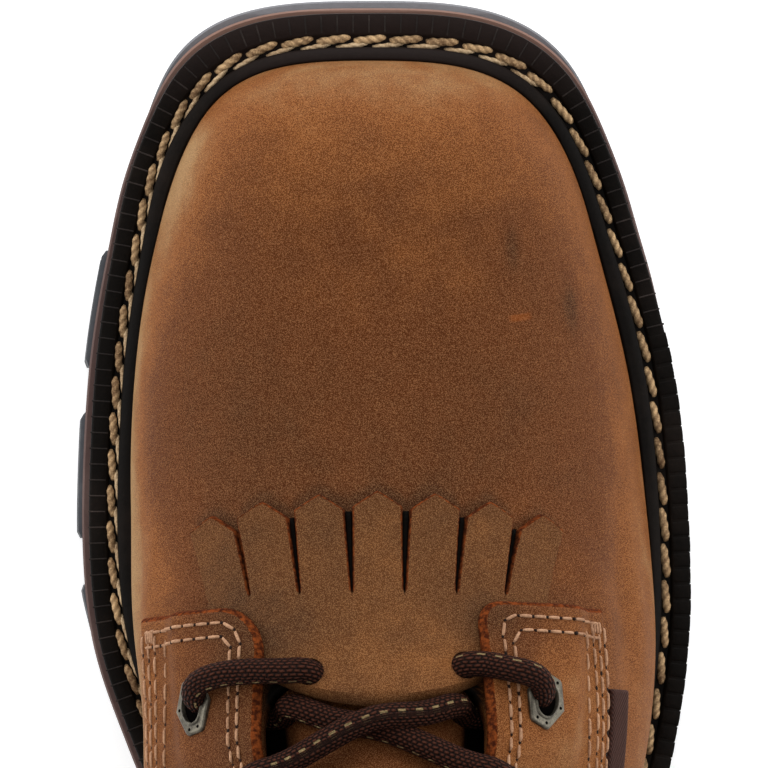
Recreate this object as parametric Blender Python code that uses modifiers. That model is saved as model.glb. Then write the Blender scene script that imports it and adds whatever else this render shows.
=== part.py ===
"""Lace-up work boot for the right foot, with a fringed kiltie and a welted lug sole.

Every size below is in millimetres and is scaled to metres when a point is placed.
The boot stands on Z = 0 with its toe towards +Y and its outer side towards +X.
"Back" is the distance behind the toe tip of the midsole. A point on the leather is given by
its station along the ridge of the boot, its reach from the ridge round the section (minus on
the inner side), and its lift above the leather's outer face.
"""

import functools
import math
from collections import namedtuple

import bmesh
import bpy
from mathutils import Matrix, Vector
from mathutils.bvhtree import BVHTree

MM = 0.001
GAP = 0.3
MERGE = 0.01 * MM
INNER, OUTER = -1, 1

# Sole: the outline of the midsole's edge, from the toe tip to the heel.
SOLE_LENGTH = 313
Outline = namedtuple("Outline", "back centre half")
SOLE_OUTLINE = [
    Outline(0, -3.0, 43.0),
    Outline(20, -1.9, 44.6),
    Outline(40, -1.1, 49.6),
    Outline(70, 0.1, 55.9),
    Outline(100, 1.0, 58.3),
    Outline(120, 2.0, 57.2),
    Outline(140, 4.2, 52.6),
    Outline(160, 6.0, 46.0),
    Outline(185, 6.4, 40.0),
    Outline(215, 4.6, 38.4),
    Outline(250, 2.8, 39.6),
    Outline(285, 2.0, 40.5),
    Outline(313, 2.0, 40.0),
]
TOE_ROUND, TOE_SQUARE = 38, 3.0
HEEL_ROUND, HEEL_SQUARE = 42, 2.3
SOLE_STATIONS = 36
END_TIP = 0.0006

# Sole: heights. The line is the underside of the outsole's sheet above the floor.
LUG_DEEP = 6
TOE_SPRING, SPRING_FROM = 13, 75
HEEL_RISE, ARCH_FROM, ARCH_TO = 24, 135, 236
OUTSOLE_THICK, OUTSOLE_INSET = 6, 0.2
MIDSOLE_THICK = 4
INSOLE_THICK, INSOLE_CLEAR = 4, 2.8
OUTSOLE_TOP = OUTSOLE_THICK
MIDSOLE_TOP = OUTSOLE_TOP + GAP + MIDSOLE_THICK
FEATHER_UP = MIDSOLE_TOP + GAP

# Tread: a bumper round the toe, then rows of side and middle lugs, then the heel.
LUG_OUT, BUMPER_OUT = 1.3, 2.2
LUG_UP_SIDE, LUG_ROOT = 5, 1
LUG_CHANNEL = 8
LugRow = namedtuple("LugRow", "front back")
LUG_ROWS = [LugRow(44, 66), LugRow(75, 99), LugRow(108, 135), LugRow(144, 164)]
BUMPER_BACK, BUMPER_SUNK, BUMPER_STEPS, BUMPER_FADE = 30, 0.4, 9, 0.45
SIDE_LUG_SHARE = 0.62
HEEL_BREAST, HEEL_STEPS = 226, 12
HEEL_INSET, HEEL_TAPER = 0.8, 2.5
HEEL_GROOVES = (248, 272, 296)
HEEL_GROOVE_WIDE, HEEL_GROOVE_DEEP = 6, 5

# Welt: a flange with a storm lip that leans on the upper.
WELT_INSET = 1.0
WELT_THICK = 3.6
LIP_OUTER, LIP_TOP_OUTER = 6.7, 7.1
LIP_UP = 2.8
WELT_CHANNEL_DEEP, WELT_CHANNEL_SLOPE = 0.7, 0.4
WELT_CHANNEL_OUTER = 4.8
LIP_CLEAR, LOOK_INSET, LOOK_UP = 0.4, 8, 0.8

# Upper: sections from the toe to the collar. The foot of a section is on the feather line,
# and from HEEL_AT upwards it is on the line up the back of the heel.
FEATHER_INSET = 9.2
FEATHER_TRIM = 1.3
WALL = 2.2
HEEL_AT = 222
COLLAR_AT = 310
TOE_CROWN, TOE_CROWN_SQUARE = 34, 2.3
TOE_CAP, TOE_REACH, TOE_STEPS = 0.25, 31, 8
Foot = namedtuple("Foot", "at back up")
FEET = [
    Foot(9.2, 9.2, 0),
    Foot(40, 40, 0),
    Foot(70, 70, 0),
    Foot(100, 102, 0),
    Foot(130, 138, 0),
    Foot(147, 163, 0),
    Foot(165, 190, 0),
    Foot(178.5, 217, 0),
    Foot(190.5, 245, 0),
    Foot(200, 268.5, 0),
    Foot(208, 289.5, 0),
    Foot(215, 300.3, 0),
    Foot(219, 303.2, 0),
    Foot(222, 303.8, 0),
    Foot(225, 304.0, 5),
    Foot(232, 304.9, 21),
    Foot(250, 303.6, 58),
    Foot(270, 302.6, 94),
    Foot(290, 304.6, 136),
    Foot(310, 308.0, 192),
    Foot(334, 309.5, 214),
]
Section = namedtuple("Section", "at ridge_back ridge_z keep girth low top lean")
SECTIONS = [
    Section(9.2, 9.2, 63.0, 0.93, 0, 2.8, 2.5, -3.0),
    Section(40, 40, 61.5, 0.93, 0, 2.8, 2.4, -2.6),
    Section(70, 70, 65.0, 0.93, 0, 2.7, 2.3, -2.8),
    Section(100, 100, 72.5, 0.915, 0, 2.55, 2.2, -3.1),
    Section(130, 130, 84.5, 0.87, 4.5, 2.5, 2.1, -3.0),
    Section(147, 144, 94.5, 0.66, 13, 2.4, 2.05, -3.2),
    Section(165, 158, 105.5, 0.42, 21, 2.3, 2.0, -3.0),
    Section(178.5, 168, 114.5, 0.30, 25.5, 2.4, 2.0, -2.4),
    Section(190.5, 176, 123.5, 0.25, 28, 2.5, 2.0, -1.2),
    Section(200, 181, 131.5, 0.20, 30.2, 2.55, 2.0, -0.2),
    Section(208, 184.5, 138.5, 0.12, 34.2, 2.6, 2.0, 0.6),
    Section(215, 187, 145.5, 0.06, 37.1, 2.65, 2.0, 1.2),
    Section(222, 188.5, 152.5, 0.0, 38.7, 2.7, 2.0, 1.6),
    Section(232, 190, 162.5, 0.0, 39.2, 2.6, 2.0, 1.8),
    Section(250, 191, 180.5, 0.0, 39.5, 2.4, 2.0, 2.0),
    Section(270, 191, 200.5, 0.0, 40.5, 2.2, 2.0, 2.0),
    Section(290, 190.5, 220.5, 0.0, 44.5, 2.1, 2.0, 2.0),
    Section(310, 190, 240.5, 0.0, 49, 2.0, 2.0, 2.0),
    Section(334, 189.5, 264.5, 0.0, 51, 2.0, 2.0, 2.0),
]
RIB_POINTS = 48

# Throat: the opening that the tongue fills, and the stays either side of it.
THROAT_AT, THROAT_ROUND = 121, 14
STAY_HALF_LOW, STAY_HALF_TOP = {INNER: 19.0, OUTER: 17.2}, 25
STAY_FRONT_AT, STAY_FROM_AT, STAY_CORNER = {INNER: 114, OUTER: 112.5}, 125, 6.5
STAY_WIDE, STAY_THICK = {INNER: 33, OUTER: 31}, 2.0
TONGUE_FRONT_AT, TONGUE_TOP_AT = 112, 324
TONGUE_HALF, TONGUE_THICK = 35, 2.4
TONGUE_TAPER, TONGUE_TAPER_AT = 7, 306
TONGUE_CLEAR = 0.9

# Kiltie: a flap with pointed fingers that lies on the vamp, under the stays.
KILTIE_THICK = 1.8
FINGERS = 7
TIP_AT, TIP_BEND, TIP_POINT = 92, 0.55, 3.2
TIP_PITCH, ROOT_PITCH, SLIT_WIDE = 10.3, 9.2, 1.3
ROOT_AT, KILTIE_BACK_AT, KILTIE_BACK_HALF = 111.5, 129, 30
KILTIE_BACK_BEND = 3.5
KILTIE_HOLE_AT, KILTIE_HOLE_REACH = {INNER: 124.6, OUTER: 123.4}, {INNER: 9.8, OUTER: 13.2}
KILTIE_HOLE_WIDE = 5.6
KILTIE_HOLE_SIDES, KILTIE_HOLE_CUT = 12, 8
OVER_KILTIE_AT, OVER_KILTIE_REACH = (136, 146), (37, 43)

# Lacing: pairs of six-sided eyelets, and a round lace that enters each from above.
EYELET_PAIRS = 9
EYELET_FIRST_AT, EYELET_LAST_AT = 130.6, 299
EYELET_FROM_EDGE = {INNER: 15.2, OUTER: 13.4}
EYELET_WIDE, EYELET_LONG, EYELET_THICK, EYELET_HOLE = 7.4, 9.6, 1.0, 4.8
EYELET_SIDES, EYELET_HOLE_SIDES = 6, 12
EYELET_CLEAR = 0.6
LACE_WIDE = 4.6
LACE_HUMP = 3.0
LACE_START, LACE_CROSS = 0.5, 2.5
LACE_BEVEL = 2
LACE_WELD = 0.45
LACE_HOLE_SHIFT = 0.6
LACE_TUCK, LACE_PAST_MIDDLE = 4, 1
LACE_RISE_SHARE, LACE_RISE_REACH, LACE_RISE_HUMP = 0.6, 8, 0.7

# A strand's last run: its share of the way back to the crossing, then its reach and lift from
# the stay's edge, and after that from the eyelet's middle.
RunPoint = namedtuple("RunPoint", "share reach lift")
OVER_EDGE = [RunPoint(0.55, -4.2, -2.4), RunPoint(0.4, -1.0, 0.3), RunPoint(0.25, 3.0, 0.9)]
OVER_EYELET = [RunPoint(0.12, -5.0, 0.5), RunPoint(0, 0, 0.3)]

# Side tag: a bare woven tab sewn in at the stay's outer edge.
TAG_AT, TAG_WIDE, TAG_THICK = (128, 166), 3.4, 0.8

COLOURS = {
    "leather": ((0.22, 0.10, 0.045), 0.6, 0.0),
    "kiltie leather": ((0.17, 0.085, 0.042), 0.65, 0.0),
    "lining": ((0.20, 0.14, 0.09), 0.8, 0.0),
    "rubber": ((0.018, 0.018, 0.02), 0.55, 0.0),
    "welt black": ((0.012, 0.011, 0.011), 0.5, 0.0),
    "midsole brown": ((0.11, 0.06, 0.05), 0.6, 0.0),
    "lace brown": ((0.02, 0.012, 0.01), 0.8, 0.0),
    "gunmetal": ((0.22, 0.21, 0.19), 0.4, 0.9),
    "tag brown": ((0.06, 0.03, 0.025), 0.8, 0.0),
}


def smoothstep(low, high, value):
    share = min(max((value - low) / (high - low), 0.0), 1.0)
    return share * share * (3 - 2 * share)


def curve_of(rows, key, column):
    """A smooth curve through one column of a table, as a function of its key column."""
    knots = [getattr(row, key) for row in rows]
    values = [getattr(row, column) for row in rows]
    steps = [(values[i + 1] - values[i]) / (knots[i + 1] - knots[i]) for i in range(len(rows) - 1)]
    slopes = [steps[0]] + [(a + b) / 2 for a, b in zip(steps, steps[1:])] + [steps[-1]]

    def at(place):
        i = max(0, min(len(knots) - 2, sum(place >= knot for knot in knots) - 1))
        wide = knots[i + 1] - knots[i]
        u = min(max((place - knots[i]) / wide, 0.0), 1.0)
        return (
            values[i] * (1 + 2 * u) * (1 - u) ** 2
            + values[i + 1] * u * u * (3 - 2 * u)
            + wide * slopes[i] * u * (1 - u) ** 2
            - wide * slopes[i + 1] * u * u * (1 - u)
        )

    return at


outline_centre = curve_of(SOLE_OUTLINE, "back", "centre")
outline_half = curve_of(SOLE_OUTLINE, "back", "half")
foot_back_at = curve_of(FEET, "at", "back")
foot_up_at = curve_of(FEET, "at", "up")
section_curve = {name: curve_of(SECTIONS, "at", name) for name in Section._fields[1:]}


def rounded_end(depth, reach, square):
    """Share of the full width at a depth behind a rounded end: 0 at the tip, 1 from reach on."""
    if depth <= 0:
        return 0.0
    if depth >= reach:
        return 1.0
    return (1 - (1 - depth / reach) ** square) ** (1 / square)


def edge_half(back, inset):
    """Half width of the sole's outline moved in by inset."""
    toe = rounded_end(back - inset, TOE_ROUND - inset, TOE_SQUARE)
    heel = rounded_end(SOLE_LENGTH - inset - back, HEEL_ROUND - inset, HEEL_SQUARE)
    return (outline_half(back) - inset) * toe * heel


def edge(side, along, inset):
    """Plan place (x, back) on the outline moved in by inset. along is 0 at the toe, 1 at the heel."""
    back = inset + along * (SOLE_LENGTH - 2 * inset)
    return outline_centre(back) + side * edge_half(back, inset), back


def sole_line(back):
    spring = TOE_SPRING * max(0.0, 1 - max(back, 0.0) / SPRING_FROM) ** 2
    return LUG_DEEP + spring + HEEL_RISE * smoothstep(ARCH_FROM, ARCH_TO, back)


def alongs(count, low=0.0, high=1.0):
    """Places along the outline, closer together near the two ends."""
    return [low + (high - low) * (1 - math.cos(math.pi * i / count)) / 2 for i in range(count + 1)]


def middle_of_part():
    """Plan centre of the box round the sole, which is the widest and longest piece."""
    sides = [[edge(side, a, -LUG_OUT)[0] for a in alongs(200)] for side in (INNER, OUTER)]
    return (min(sides[0]) + max(sides[1])) / 2, (SOLE_LENGTH - BUMPER_OUT) / 2


MID_X, MID_BACK = middle_of_part()


def place(x, back, z):
    return Vector(((x - MID_X) * MM, (MID_BACK - back) * MM, z * MM))


def back_of(point):
    return MID_BACK - point.y / MM


# The leather's outer face.


@functools.lru_cache(maxsize=None)
def rib(at, side):
    """One side of a section, from the ridge to its foot: points, and their distances from the ridge."""
    row = {name: curve(at) for name, curve in section_curve.items()}
    foot_back = foot_back_at(at)
    foot_z = sole_line(foot_back) + FEATHER_UP - FEATHER_TRIM + max(foot_up_at(at), 0.0)
    crown = rounded_end(row["ridge_back"] - FEATHER_INSET, TOE_CROWN, TOE_CROWN_SQUARE)
    ridge_z = foot_z + (row["ridge_z"] - foot_z) * crown
    foot_half = edge_half(foot_back, FEATHER_INSET) if at < HEEL_AT else 0.0
    mid_half = row["keep"] * foot_half + row["girth"]
    foot_centre = outline_centre(foot_back)
    points = []
    for i in range(RIB_POINTS + 1):
        up = (1 + math.cos(math.pi * i / RIB_POINTS)) / 2
        power = row["low"] + (row["top"] - row["low"]) * smoothstep(0, 1, up)
        foot_term = foot_half**power
        swell = mid_half**power - foot_term / 2
        half = max(foot_term * (1 - up) + 4 * swell * up * (1 - up), 0.0) ** (1 / power)
        x = foot_centre + (row["lean"] - foot_centre) * up + side * half
        back = foot_back + (row["ridge_back"] - foot_back) * up
        points.append(place(x, back, foot_z + (ridge_z - foot_z) * up) / MM)
    reaches = [0.0]
    for a, b in zip(points, points[1:]):
        reaches.append(reaches[-1] + (b - a).length)
    return points, reaches


def rib_length(at, side):
    return rib(at, side)[1][-1]


def on_rib(at, reach):
    points, reaches = rib(at, OUTER if reach >= 0 else INNER)
    far = min(abs(reach), reaches[-1])
    i = max(1, next(k for k, value in enumerate(reaches) if value >= far))
    share = (far - reaches[i - 1]) / max(reaches[i] - reaches[i - 1], 1e-9)
    return points[i - 1].lerp(points[i], share)


def skin_normal(at, reach, step=0.4):
    low = max(at - step, SECTIONS[0].at + 0.02)
    along = on_rib(at + step, reach) - on_rib(low, reach)
    around = on_rib(at, reach + step) - on_rib(at, reach - step)
    return along.cross(around).normalized()


def skin(at, reach, lift=0.0):
    """A point on the boot in metres, lifted off the leather's outer face."""
    point = on_rib(at, reach)
    if lift:
        point = point + skin_normal(at, reach) * lift
    return point * MM


def stay_half(at, side):
    """Reach of a stay's edge beside the throat."""
    share = (at - STAY_FRONT_AT[side]) / (COLLAR_AT - STAY_FRONT_AT[side])
    return STAY_HALF_LOW[side] + (STAY_HALF_TOP - STAY_HALF_LOW[side]) * min(max(share, 0.0), 1.0)


def throat_half(at, side):
    """Reach of the upper's edge at the throat, which closes in a round end on the vamp."""
    depth = min(max((at - THROAT_AT) / THROAT_ROUND, 0.0), 1.0)
    return stay_half(at, side) * math.sqrt(1 - (1 - depth) ** 2)


def stay_lift(at, reach):
    """Underside of a stay above the leather: it climbs over the kiltie at its front end."""
    over = 1 - smoothstep(*OVER_KILTIE_AT, at)
    over *= 1 - smoothstep(*OVER_KILTIE_REACH, abs(reach))
    return GAP + (KILTIE_THICK + GAP) * over


# Mesh helpers.


def new_object(name, mesh, material):
    obj = bpy.data.objects.new(name, mesh)
    boot.objects.link(obj)
    obj.parent = origin
    obj.data.materials.append(materials[material])
    return obj


def mesh_object(name, bm, material):
    bmesh.ops.remove_doubles(bm, verts=bm.verts, dist=MERGE)
    mesh = bpy.data.meshes.new(name)
    bm.to_mesh(mesh)
    bm.free()
    mesh.shade_smooth()
    mesh.set_sharp_from_angle(angle=math.radians(40))
    return new_object(name, mesh, material)


def add_grid(bm, rows):
    """Quads over rows of points. Stations run down the rows and reach grows along each."""
    verts = [[bm.verts.new(point) for point in row] for row in rows]
    for front, behind in zip(verts, verts[1:]):
        for i in range(len(front) - 1):
            bm.faces.new((front[i], behind[i], behind[i + 1], front[i + 1]))
    return verts


def add_loft(bm, loops, ring=False):
    """A closed skin over loops of points. It is capped at both ends, or joined round as a ring."""
    verts = [[bm.verts.new(point) for point in loop] for loop in loops]
    pairs = list(zip(verts, verts[1:])) + ([(verts[-1], verts[0])] if ring else [])
    for a, b in pairs:
        for i in range(len(a)):
            j = (i + 1) % len(a)
            bm.faces.new((a[i], a[j], b[j], b[i]))
    if not ring:
        bm.faces.new(verts[0][::-1])
        bm.faces.new(verts[-1])


def lofted(name, loops, material, ring=False):
    bm = bmesh.new()
    add_loft(bm, loops, ring)
    bmesh.ops.remove_doubles(bm, verts=bm.verts, dist=MERGE)
    bmesh.ops.recalc_face_normals(bm, faces=bm.faces)
    return mesh_object(name, bm, material)


def thicken(obj, thick, outwards):
    solidify = obj.modifiers.new("wall", "SOLIDIFY")
    solidify.thickness = thick * MM
    solidify.offset = 1 if outwards else -1
    solidify.use_even_offset = True
    return obj


def boolean(obj, other, operation):
    modifier = obj.modifiers.new(operation.lower(), "BOOLEAN")
    modifier.operation = operation
    modifier.object = other


def as_cutter(obj):
    boot.objects.unlink(obj)
    cutters.objects.link(obj)
    obj.hide_render = True
    obj.display_type = "WIRE"
    return obj


def evaluated_mesh(obj):
    graph = bpy.context.evaluated_depsgraph_get()
    return bpy.data.meshes.new_from_object(obj.evaluated_get(graph))


# Sole pieces.


def slab_loop(along, inset, low, high):
    """Four corners of a cross-section of a sole piece. low and high are measured from the sole line."""
    x_inner, back = edge(INNER, along, inset)
    x_outer, _ = edge(OUTER, along, inset)
    spots = ((x_inner, low), (x_outer, low), (x_outer, high), (x_inner, high))
    return [place(x, back, sole_line(back) + up) for x, up in spots]


def slab(name, inset, low, high, material):
    """A sole layer of even thickness that follows the sole line."""
    places = alongs(SOLE_STATIONS, END_TIP, 1 - END_TIP)
    return lofted(name, [slab_loop(along, inset, low, high) for along in places], material)


def lug_block(front, back, outer_share, inner_share, side):
    """One lug between two distances behind the toe, spanning a share of the sole's half width."""
    loops = []
    for i in range(3):
        at = front + (back - front) * i / 2
        line, centre = sole_line(at), outline_centre(at)
        half = edge_half(at, -LUG_OUT) if outer_share == 1 else edge_half(at, 0) * outer_share
        x_out = centre + side * half
        x_in = centre + side * edge_half(at, 0) * inner_share
        top = LUG_UP_SIDE if outer_share == 1 else LUG_ROOT
        spots = ((x_in, -LUG_DEEP), (x_out, -LUG_DEEP), (x_out, top), (x_in, LUG_ROOT))
        loops.append([place(x, at, line + up) for x, up in spots])
    return lofted("lug", loops, "rubber")


def toe_bumper():
    """The lug that wraps round the toe, from tip to BUMPER_BACK."""
    length = SOLE_LENGTH + 2 * BUMPER_OUT
    last = (BUMPER_BACK + BUMPER_OUT) / length
    places = [last * (1 - math.cos(math.pi / 2 * i / BUMPER_STEPS)) for i in range(BUMPER_STEPS + 1)]
    places[0] = END_TIP
    loops = []
    for along in places:
        fade = smoothstep(BUMPER_FADE, 1.0, along / last)
        inset = -BUMPER_OUT + (BUMPER_OUT - BUMPER_SUNK) * fade
        loops.append(slab_loop(along, inset, -LUG_DEEP, LUG_UP_SIDE))
    return lofted("bumper", loops, "rubber")


def make_outsole():
    outsole = slab("outsole", OUTSOLE_INSET, 0, OUTSOLE_TOP, "rubber")
    lugs = [toe_bumper()]
    channel = LUG_CHANNEL / max(row.half for row in SOLE_OUTLINE)
    for row in LUG_ROWS:
        for side in (INNER, OUTER):
            lugs.append(lug_block(row.front, row.back, 1, SIDE_LUG_SHARE, side))
        inner_edge = SIDE_LUG_SHARE - channel
        shift = (row.back - row.front) / 4
        loops = []
        for at in (row.front - shift, row.back - shift):
            centre, half, line = outline_centre(at), edge_half(at, 0) * inner_edge, sole_line(at)
            spots = ((-half, -LUG_DEEP), (half, -LUG_DEEP), (half, LUG_ROOT), (-half, LUG_ROOT))
            loops.append([place(centre + x, at, line + up) for x, up in spots])
        lugs.append(lofted("middle lug", loops, "rubber"))
    for lug in lugs:
        boolean(outsole, as_cutter(lug), "UNION")
    return outsole


def make_heel():
    first, last = HEEL_BREAST / SOLE_LENGTH, 1 - END_TIP
    turns = [math.pi / 2 * i / HEEL_STEPS for i in range(HEEL_STEPS + 1)]
    loops = []
    for along in [first + (last - first) * math.sin(turn) for turn in turns]:
        top = slab_loop(along, HEEL_INSET, 0, 0)
        foot = slab_loop(along, HEEL_INSET + HEEL_TAPER, 0, 0)
        lift = Vector((0, 0, GAP * MM))
        ground = [Vector((p.x, p.y, 0)) for p in foot[:2]]
        loops.append(ground + [top[1] - lift, top[0] - lift])
    heel = lofted("heel", loops, "rubber")
    for back in HEEL_GROOVES:
        bpy.ops.mesh.primitive_cube_add(size=1, location=place(MID_X, back, 0))
        groove = bpy.context.object
        groove.name = "heel_groove"
        groove.scale = (2 * outline_half(back) * MM, HEEL_GROOVE_WIDE * MM, 2 * HEEL_GROOVE_DEEP * MM)
        for collection in groove.users_collection:
            collection.objects.unlink(groove)
        boot.objects.link(groove)
        boolean(heel, as_cutter(groove), "DIFFERENCE")
    return heel


def make_welt(upper):
    """The flange and storm lip. The lip's inner face is found by looking inwards to the upper."""
    bpy.context.view_layer.update()
    tree = BVHTree.FromObject(upper, bpy.context.evaluated_depsgraph_get())
    lip_top = FEATHER_UP + WELT_THICK + LIP_UP
    profile = (
        (WELT_INSET, FEATHER_UP),
        (WELT_INSET, FEATHER_UP + WELT_THICK),
        (WELT_CHANNEL_OUTER, FEATHER_UP + WELT_THICK),
        (WELT_CHANNEL_OUTER + WELT_CHANNEL_SLOPE, FEATHER_UP + WELT_THICK - WELT_CHANNEL_DEEP),
        (LIP_OUTER, FEATHER_UP + WELT_THICK - WELT_CHANNEL_DEEP),
        (LIP_TOP_OUTER, lip_top),
    )

    def section(side, along):
        rim = [(*edge(side, along, inset), up) for inset, up in profile]
        loop = [place(x, back, sole_line(back) + up) for x, back, up in rim]
        x, back = edge(side, along, WELT_INSET)
        deep_x, deep_back = edge(side, along, FEATHER_INSET + LOOK_INSET)
        floor = sole_line(edge(side, along, FEATHER_INSET)[1])
        for up, look in ((lip_top, lip_top), (FEATHER_UP, FEATHER_UP + LOOK_UP)):
            start = place(x, back, floor + look)
            inwards = (place(deep_x, deep_back, floor + look) - start).normalized()
            distance = tree.ray_cast(start, inwards)[3]
            seat = start + inwards * (distance - LIP_CLEAR * MM)
            seat.z = (sole_line(back_of(seat)) + up) * MM
            loop.append(seat)
        return loop

    places = alongs(SOLE_STATIONS)
    loops = [section(INNER, a) for a in places] + [section(OUTER, a) for a in places[-2:0:-1]]
    return lofted("welt", loops, "welt black", ring=True)


# Upper pieces.


def upper_stations():
    turns = [math.pi / 2 * i / TOE_STEPS for i in range(TOE_STEPS + 1)]
    toe = [SECTIONS[0].at + TOE_REACH * (1 - math.cos(turn)) for turn in turns]
    toe[0] = SECTIONS[0].at + TOE_CAP
    vamp = [48, 58, 70, 83, 96, 109, THROAT_AT]
    throat = [122.5, 125, 129, 135, 145, 156, 165, 171, 176, 181, 186, 192, 198, 204]
    heel = [208, 212, 215.5, 218.5, HEEL_AT]
    shaft = [227, 236, 250, 266, 282, 297, COLLAR_AT]
    return toe + vamp + throat + heel + shaft


def make_upper(columns=8):
    bm = bmesh.new()
    stations = upper_stations()
    for side in (INNER, OUTER):
        rows = []
        for at in stations:
            edge_reach, length = throat_half(at, side), rib_length(at, side)
            reaches = [edge_reach + (length - edge_reach) * i / columns for i in range(columns + 1)]
            row = [skin(at, side * reach) for reach in reaches]
            rows.append(row if side == OUTER else row[::-1])
        add_grid(bm, rows)
        if side == INNER:
            toe_arch = rows[0]
        else:
            toe_arch = toe_arch + rows[0][1:]
    bm.faces.new([bm.verts.new(point) for point in toe_arch])
    upper = thicken(mesh_object("upper", bm, "leather"), WALL, outwards=False)
    boolean(upper, as_cutter(slab("feather_trim", 0, 0, FEATHER_UP, "leather")), "DIFFERENCE")
    return upper


def make_stay(side, name, columns=4):
    """A strip beside the throat that carries the eyelets, with its inner front corner rounded."""
    shares = [j / columns for j in range(columns + 1)]
    corners = [STAY_CORNER * (1 - math.sqrt(1 - max(0.0, 1 - 3 * share) ** 2)) for share in shares]
    fronts = [STAY_FRONT_AT[side] + corner for corner in corners]
    rows = [fronts, [(front + STAY_FROM_AT) / 2 for front in fronts]]
    rows += [[at] * len(shares) for at in upper_stations() if at >= STAY_FROM_AT]
    grid = []
    for row in rows:
        reaches = [stay_half(at, side) + STAY_WIDE[side] * share for at, share in zip(row, shares)]
        points = [skin(at, side * reach, stay_lift(at, reach)) for at, reach in zip(row, reaches)]
        grid.append(points if side == OUTER else points[::-1])
    bm = bmesh.new()
    add_grid(bm, grid)
    return thicken(mesh_object(name, bm, "leather"), STAY_THICK, outwards=True)


def make_tongue(columns=4):
    stations = [at for at in upper_stations() if at > TONGUE_FRONT_AT]
    grid = []
    for at in [TONGUE_FRONT_AT] + stations + [(COLLAR_AT + TONGUE_TOP_AT) / 2, TONGUE_TOP_AT]:
        half = TONGUE_HALF - TONGUE_TAPER * smoothstep(TONGUE_TAPER_AT, TONGUE_TOP_AT, at)
        reaches = [half * (2 * j / columns - 1) for j in range(columns + 1)]
        grid.append([skin(at, reach, -WALL - TONGUE_CLEAR) for reach in reaches])
    bm = bmesh.new()
    add_grid(bm, grid)
    return thicken(mesh_object("tongue", bm, "leather"), TONGUE_THICK, outwards=False)


def make_kiltie(finger_rows=2, base_rows=3):
    bm = bmesh.new()
    middle = (FINGERS - 1) / 2
    for k in range(FINGERS):
        out = k - middle
        apex = TIP_AT + TIP_BEND * out * out
        rows = []
        for i in range(finger_rows + 1):
            share = i / finger_rows
            pitch = TIP_PITCH + (ROOT_PITCH - TIP_PITCH) * share
            half = pitch / 2 - SLIT_WIDE / 2 * (1 - share)
            shoulder = apex + TIP_POINT + (ROOT_AT - apex - TIP_POINT) * share
            tip = apex + (ROOT_AT - apex) * share
            spots = ((shoulder, -half), (tip, 0), (shoulder, half))
            rows.append([skin(at, out * pitch + reach, GAP) for at, reach in spots])
        add_grid(bm, rows)
    base = []
    root_half = FINGERS * ROOT_PITCH / 2
    for i in range(base_rows + 1):
        share = i / base_rows
        half = root_half + (KILTIE_BACK_HALF - root_half) * share
        row = []
        for j in range(2 * FINGERS + 1):
            out = j / FINGERS - 1
            back_at = KILTIE_BACK_AT - KILTIE_BACK_BEND * out * out
            row.append(skin(ROOT_AT + (back_at - ROOT_AT) * share, half * out, GAP))
        base.append(row)
    add_grid(bm, base)
    kiltie = thicken(mesh_object("kiltie", bm, "kiltie leather"), KILTIE_THICK, outwards=True)
    for side in (INNER, OUTER):
        boolean(kiltie, hole_cutter(side), "DIFFERENCE")
    return kiltie


def hole_cutter(side):
    at, reach = KILTIE_HOLE_AT[side], side * KILTIE_HOLE_REACH[side]
    radius, depth = KILTIE_HOLE_WIDE / 2 * MM, KILTIE_HOLE_CUT * MM
    bpy.ops.mesh.primitive_cylinder_add(vertices=KILTIE_HOLE_SIDES, radius=radius, depth=depth)
    cutter = bpy.context.object
    cutter.name = "kiltie_hole"
    turn = skin_normal(at, reach).to_track_quat("Z", "Y").to_matrix().to_4x4()
    middle = skin(at, reach, GAP + KILTIE_THICK / 2)
    cutter.matrix_world = Matrix.Translation(middle) @ turn
    for collection in cutter.users_collection:
        collection.objects.unlink(cutter)
    boot.objects.link(cutter)
    return as_cutter(cutter)


def make_tag():
    grid = []
    for i in range(5):
        at = TAG_AT[0] + (TAG_AT[1] - TAG_AT[0]) * i / 4
        inner = stay_half(at, OUTER) + STAY_WIDE[OUTER] + GAP
        grid.append([skin(at, inner + TAG_WIDE * j / 2, GAP) for j in range(3)])
    bm = bmesh.new()
    add_grid(bm, grid)
    return thicken(mesh_object("side_tag", bm, "tag brown"), TAG_THICK, outwards=True)


# Lacing.


def eyelet_at(pair):
    return EYELET_FIRST_AT + (EYELET_LAST_AT - EYELET_FIRST_AT) * pair / (EYELET_PAIRS - 1)


def eyelet_reach(at, side):
    return stay_half(at, side) + EYELET_FROM_EDGE[side]


def stay_top(at, reach):
    return stay_lift(at, reach) + STAY_THICK


def eyelet_mesh():
    """A long six-sided plate with a round hole, made once and shared by every eyelet."""
    bm = bmesh.new()
    loops = []
    for up in (0, EYELET_THICK):
        ring = []
        for i in range(EYELET_HOLE_SIDES):
            turn = 2 * math.pi * i / EYELET_HOLE_SIDES
            ring.append((math.cos(turn), math.sin(turn), up))
        loops.append(ring)
    bottom, top = loops

    def outer(spot):
        """The six-sided rim in the same direction as a point of the hole."""
        turn = math.atan2(spot[1], spot[0])
        sector = math.pi / EYELET_SIDES
        off = (turn % (2 * sector)) - sector
        radius = math.cos(sector) / math.cos(off)
        return (
            math.cos(turn) * radius * EYELET_LONG / 2 * MM,
            math.sin(turn) * radius * EYELET_WIDE / 2 / math.cos(sector) * MM,
            spot[2] * MM,
        )

    def hole(spot):
        return (spot[0] * EYELET_HOLE / 2 * MM, spot[1] * EYELET_HOLE / 2 * MM, spot[2] * MM)

    rings = []
    for a, b in zip(bottom, top):
        rings.append([hole(a), outer(a), outer(b), hole(b)])
    add_loft(bm, rings, ring=True)
    bmesh.ops.recalc_face_normals(bm, faces=bm.faces)
    mesh = bpy.data.meshes.new("eyelet")
    bm.to_mesh(mesh)
    bm.free()
    mesh.materials.append(materials["gunmetal"])
    return mesh


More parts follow.
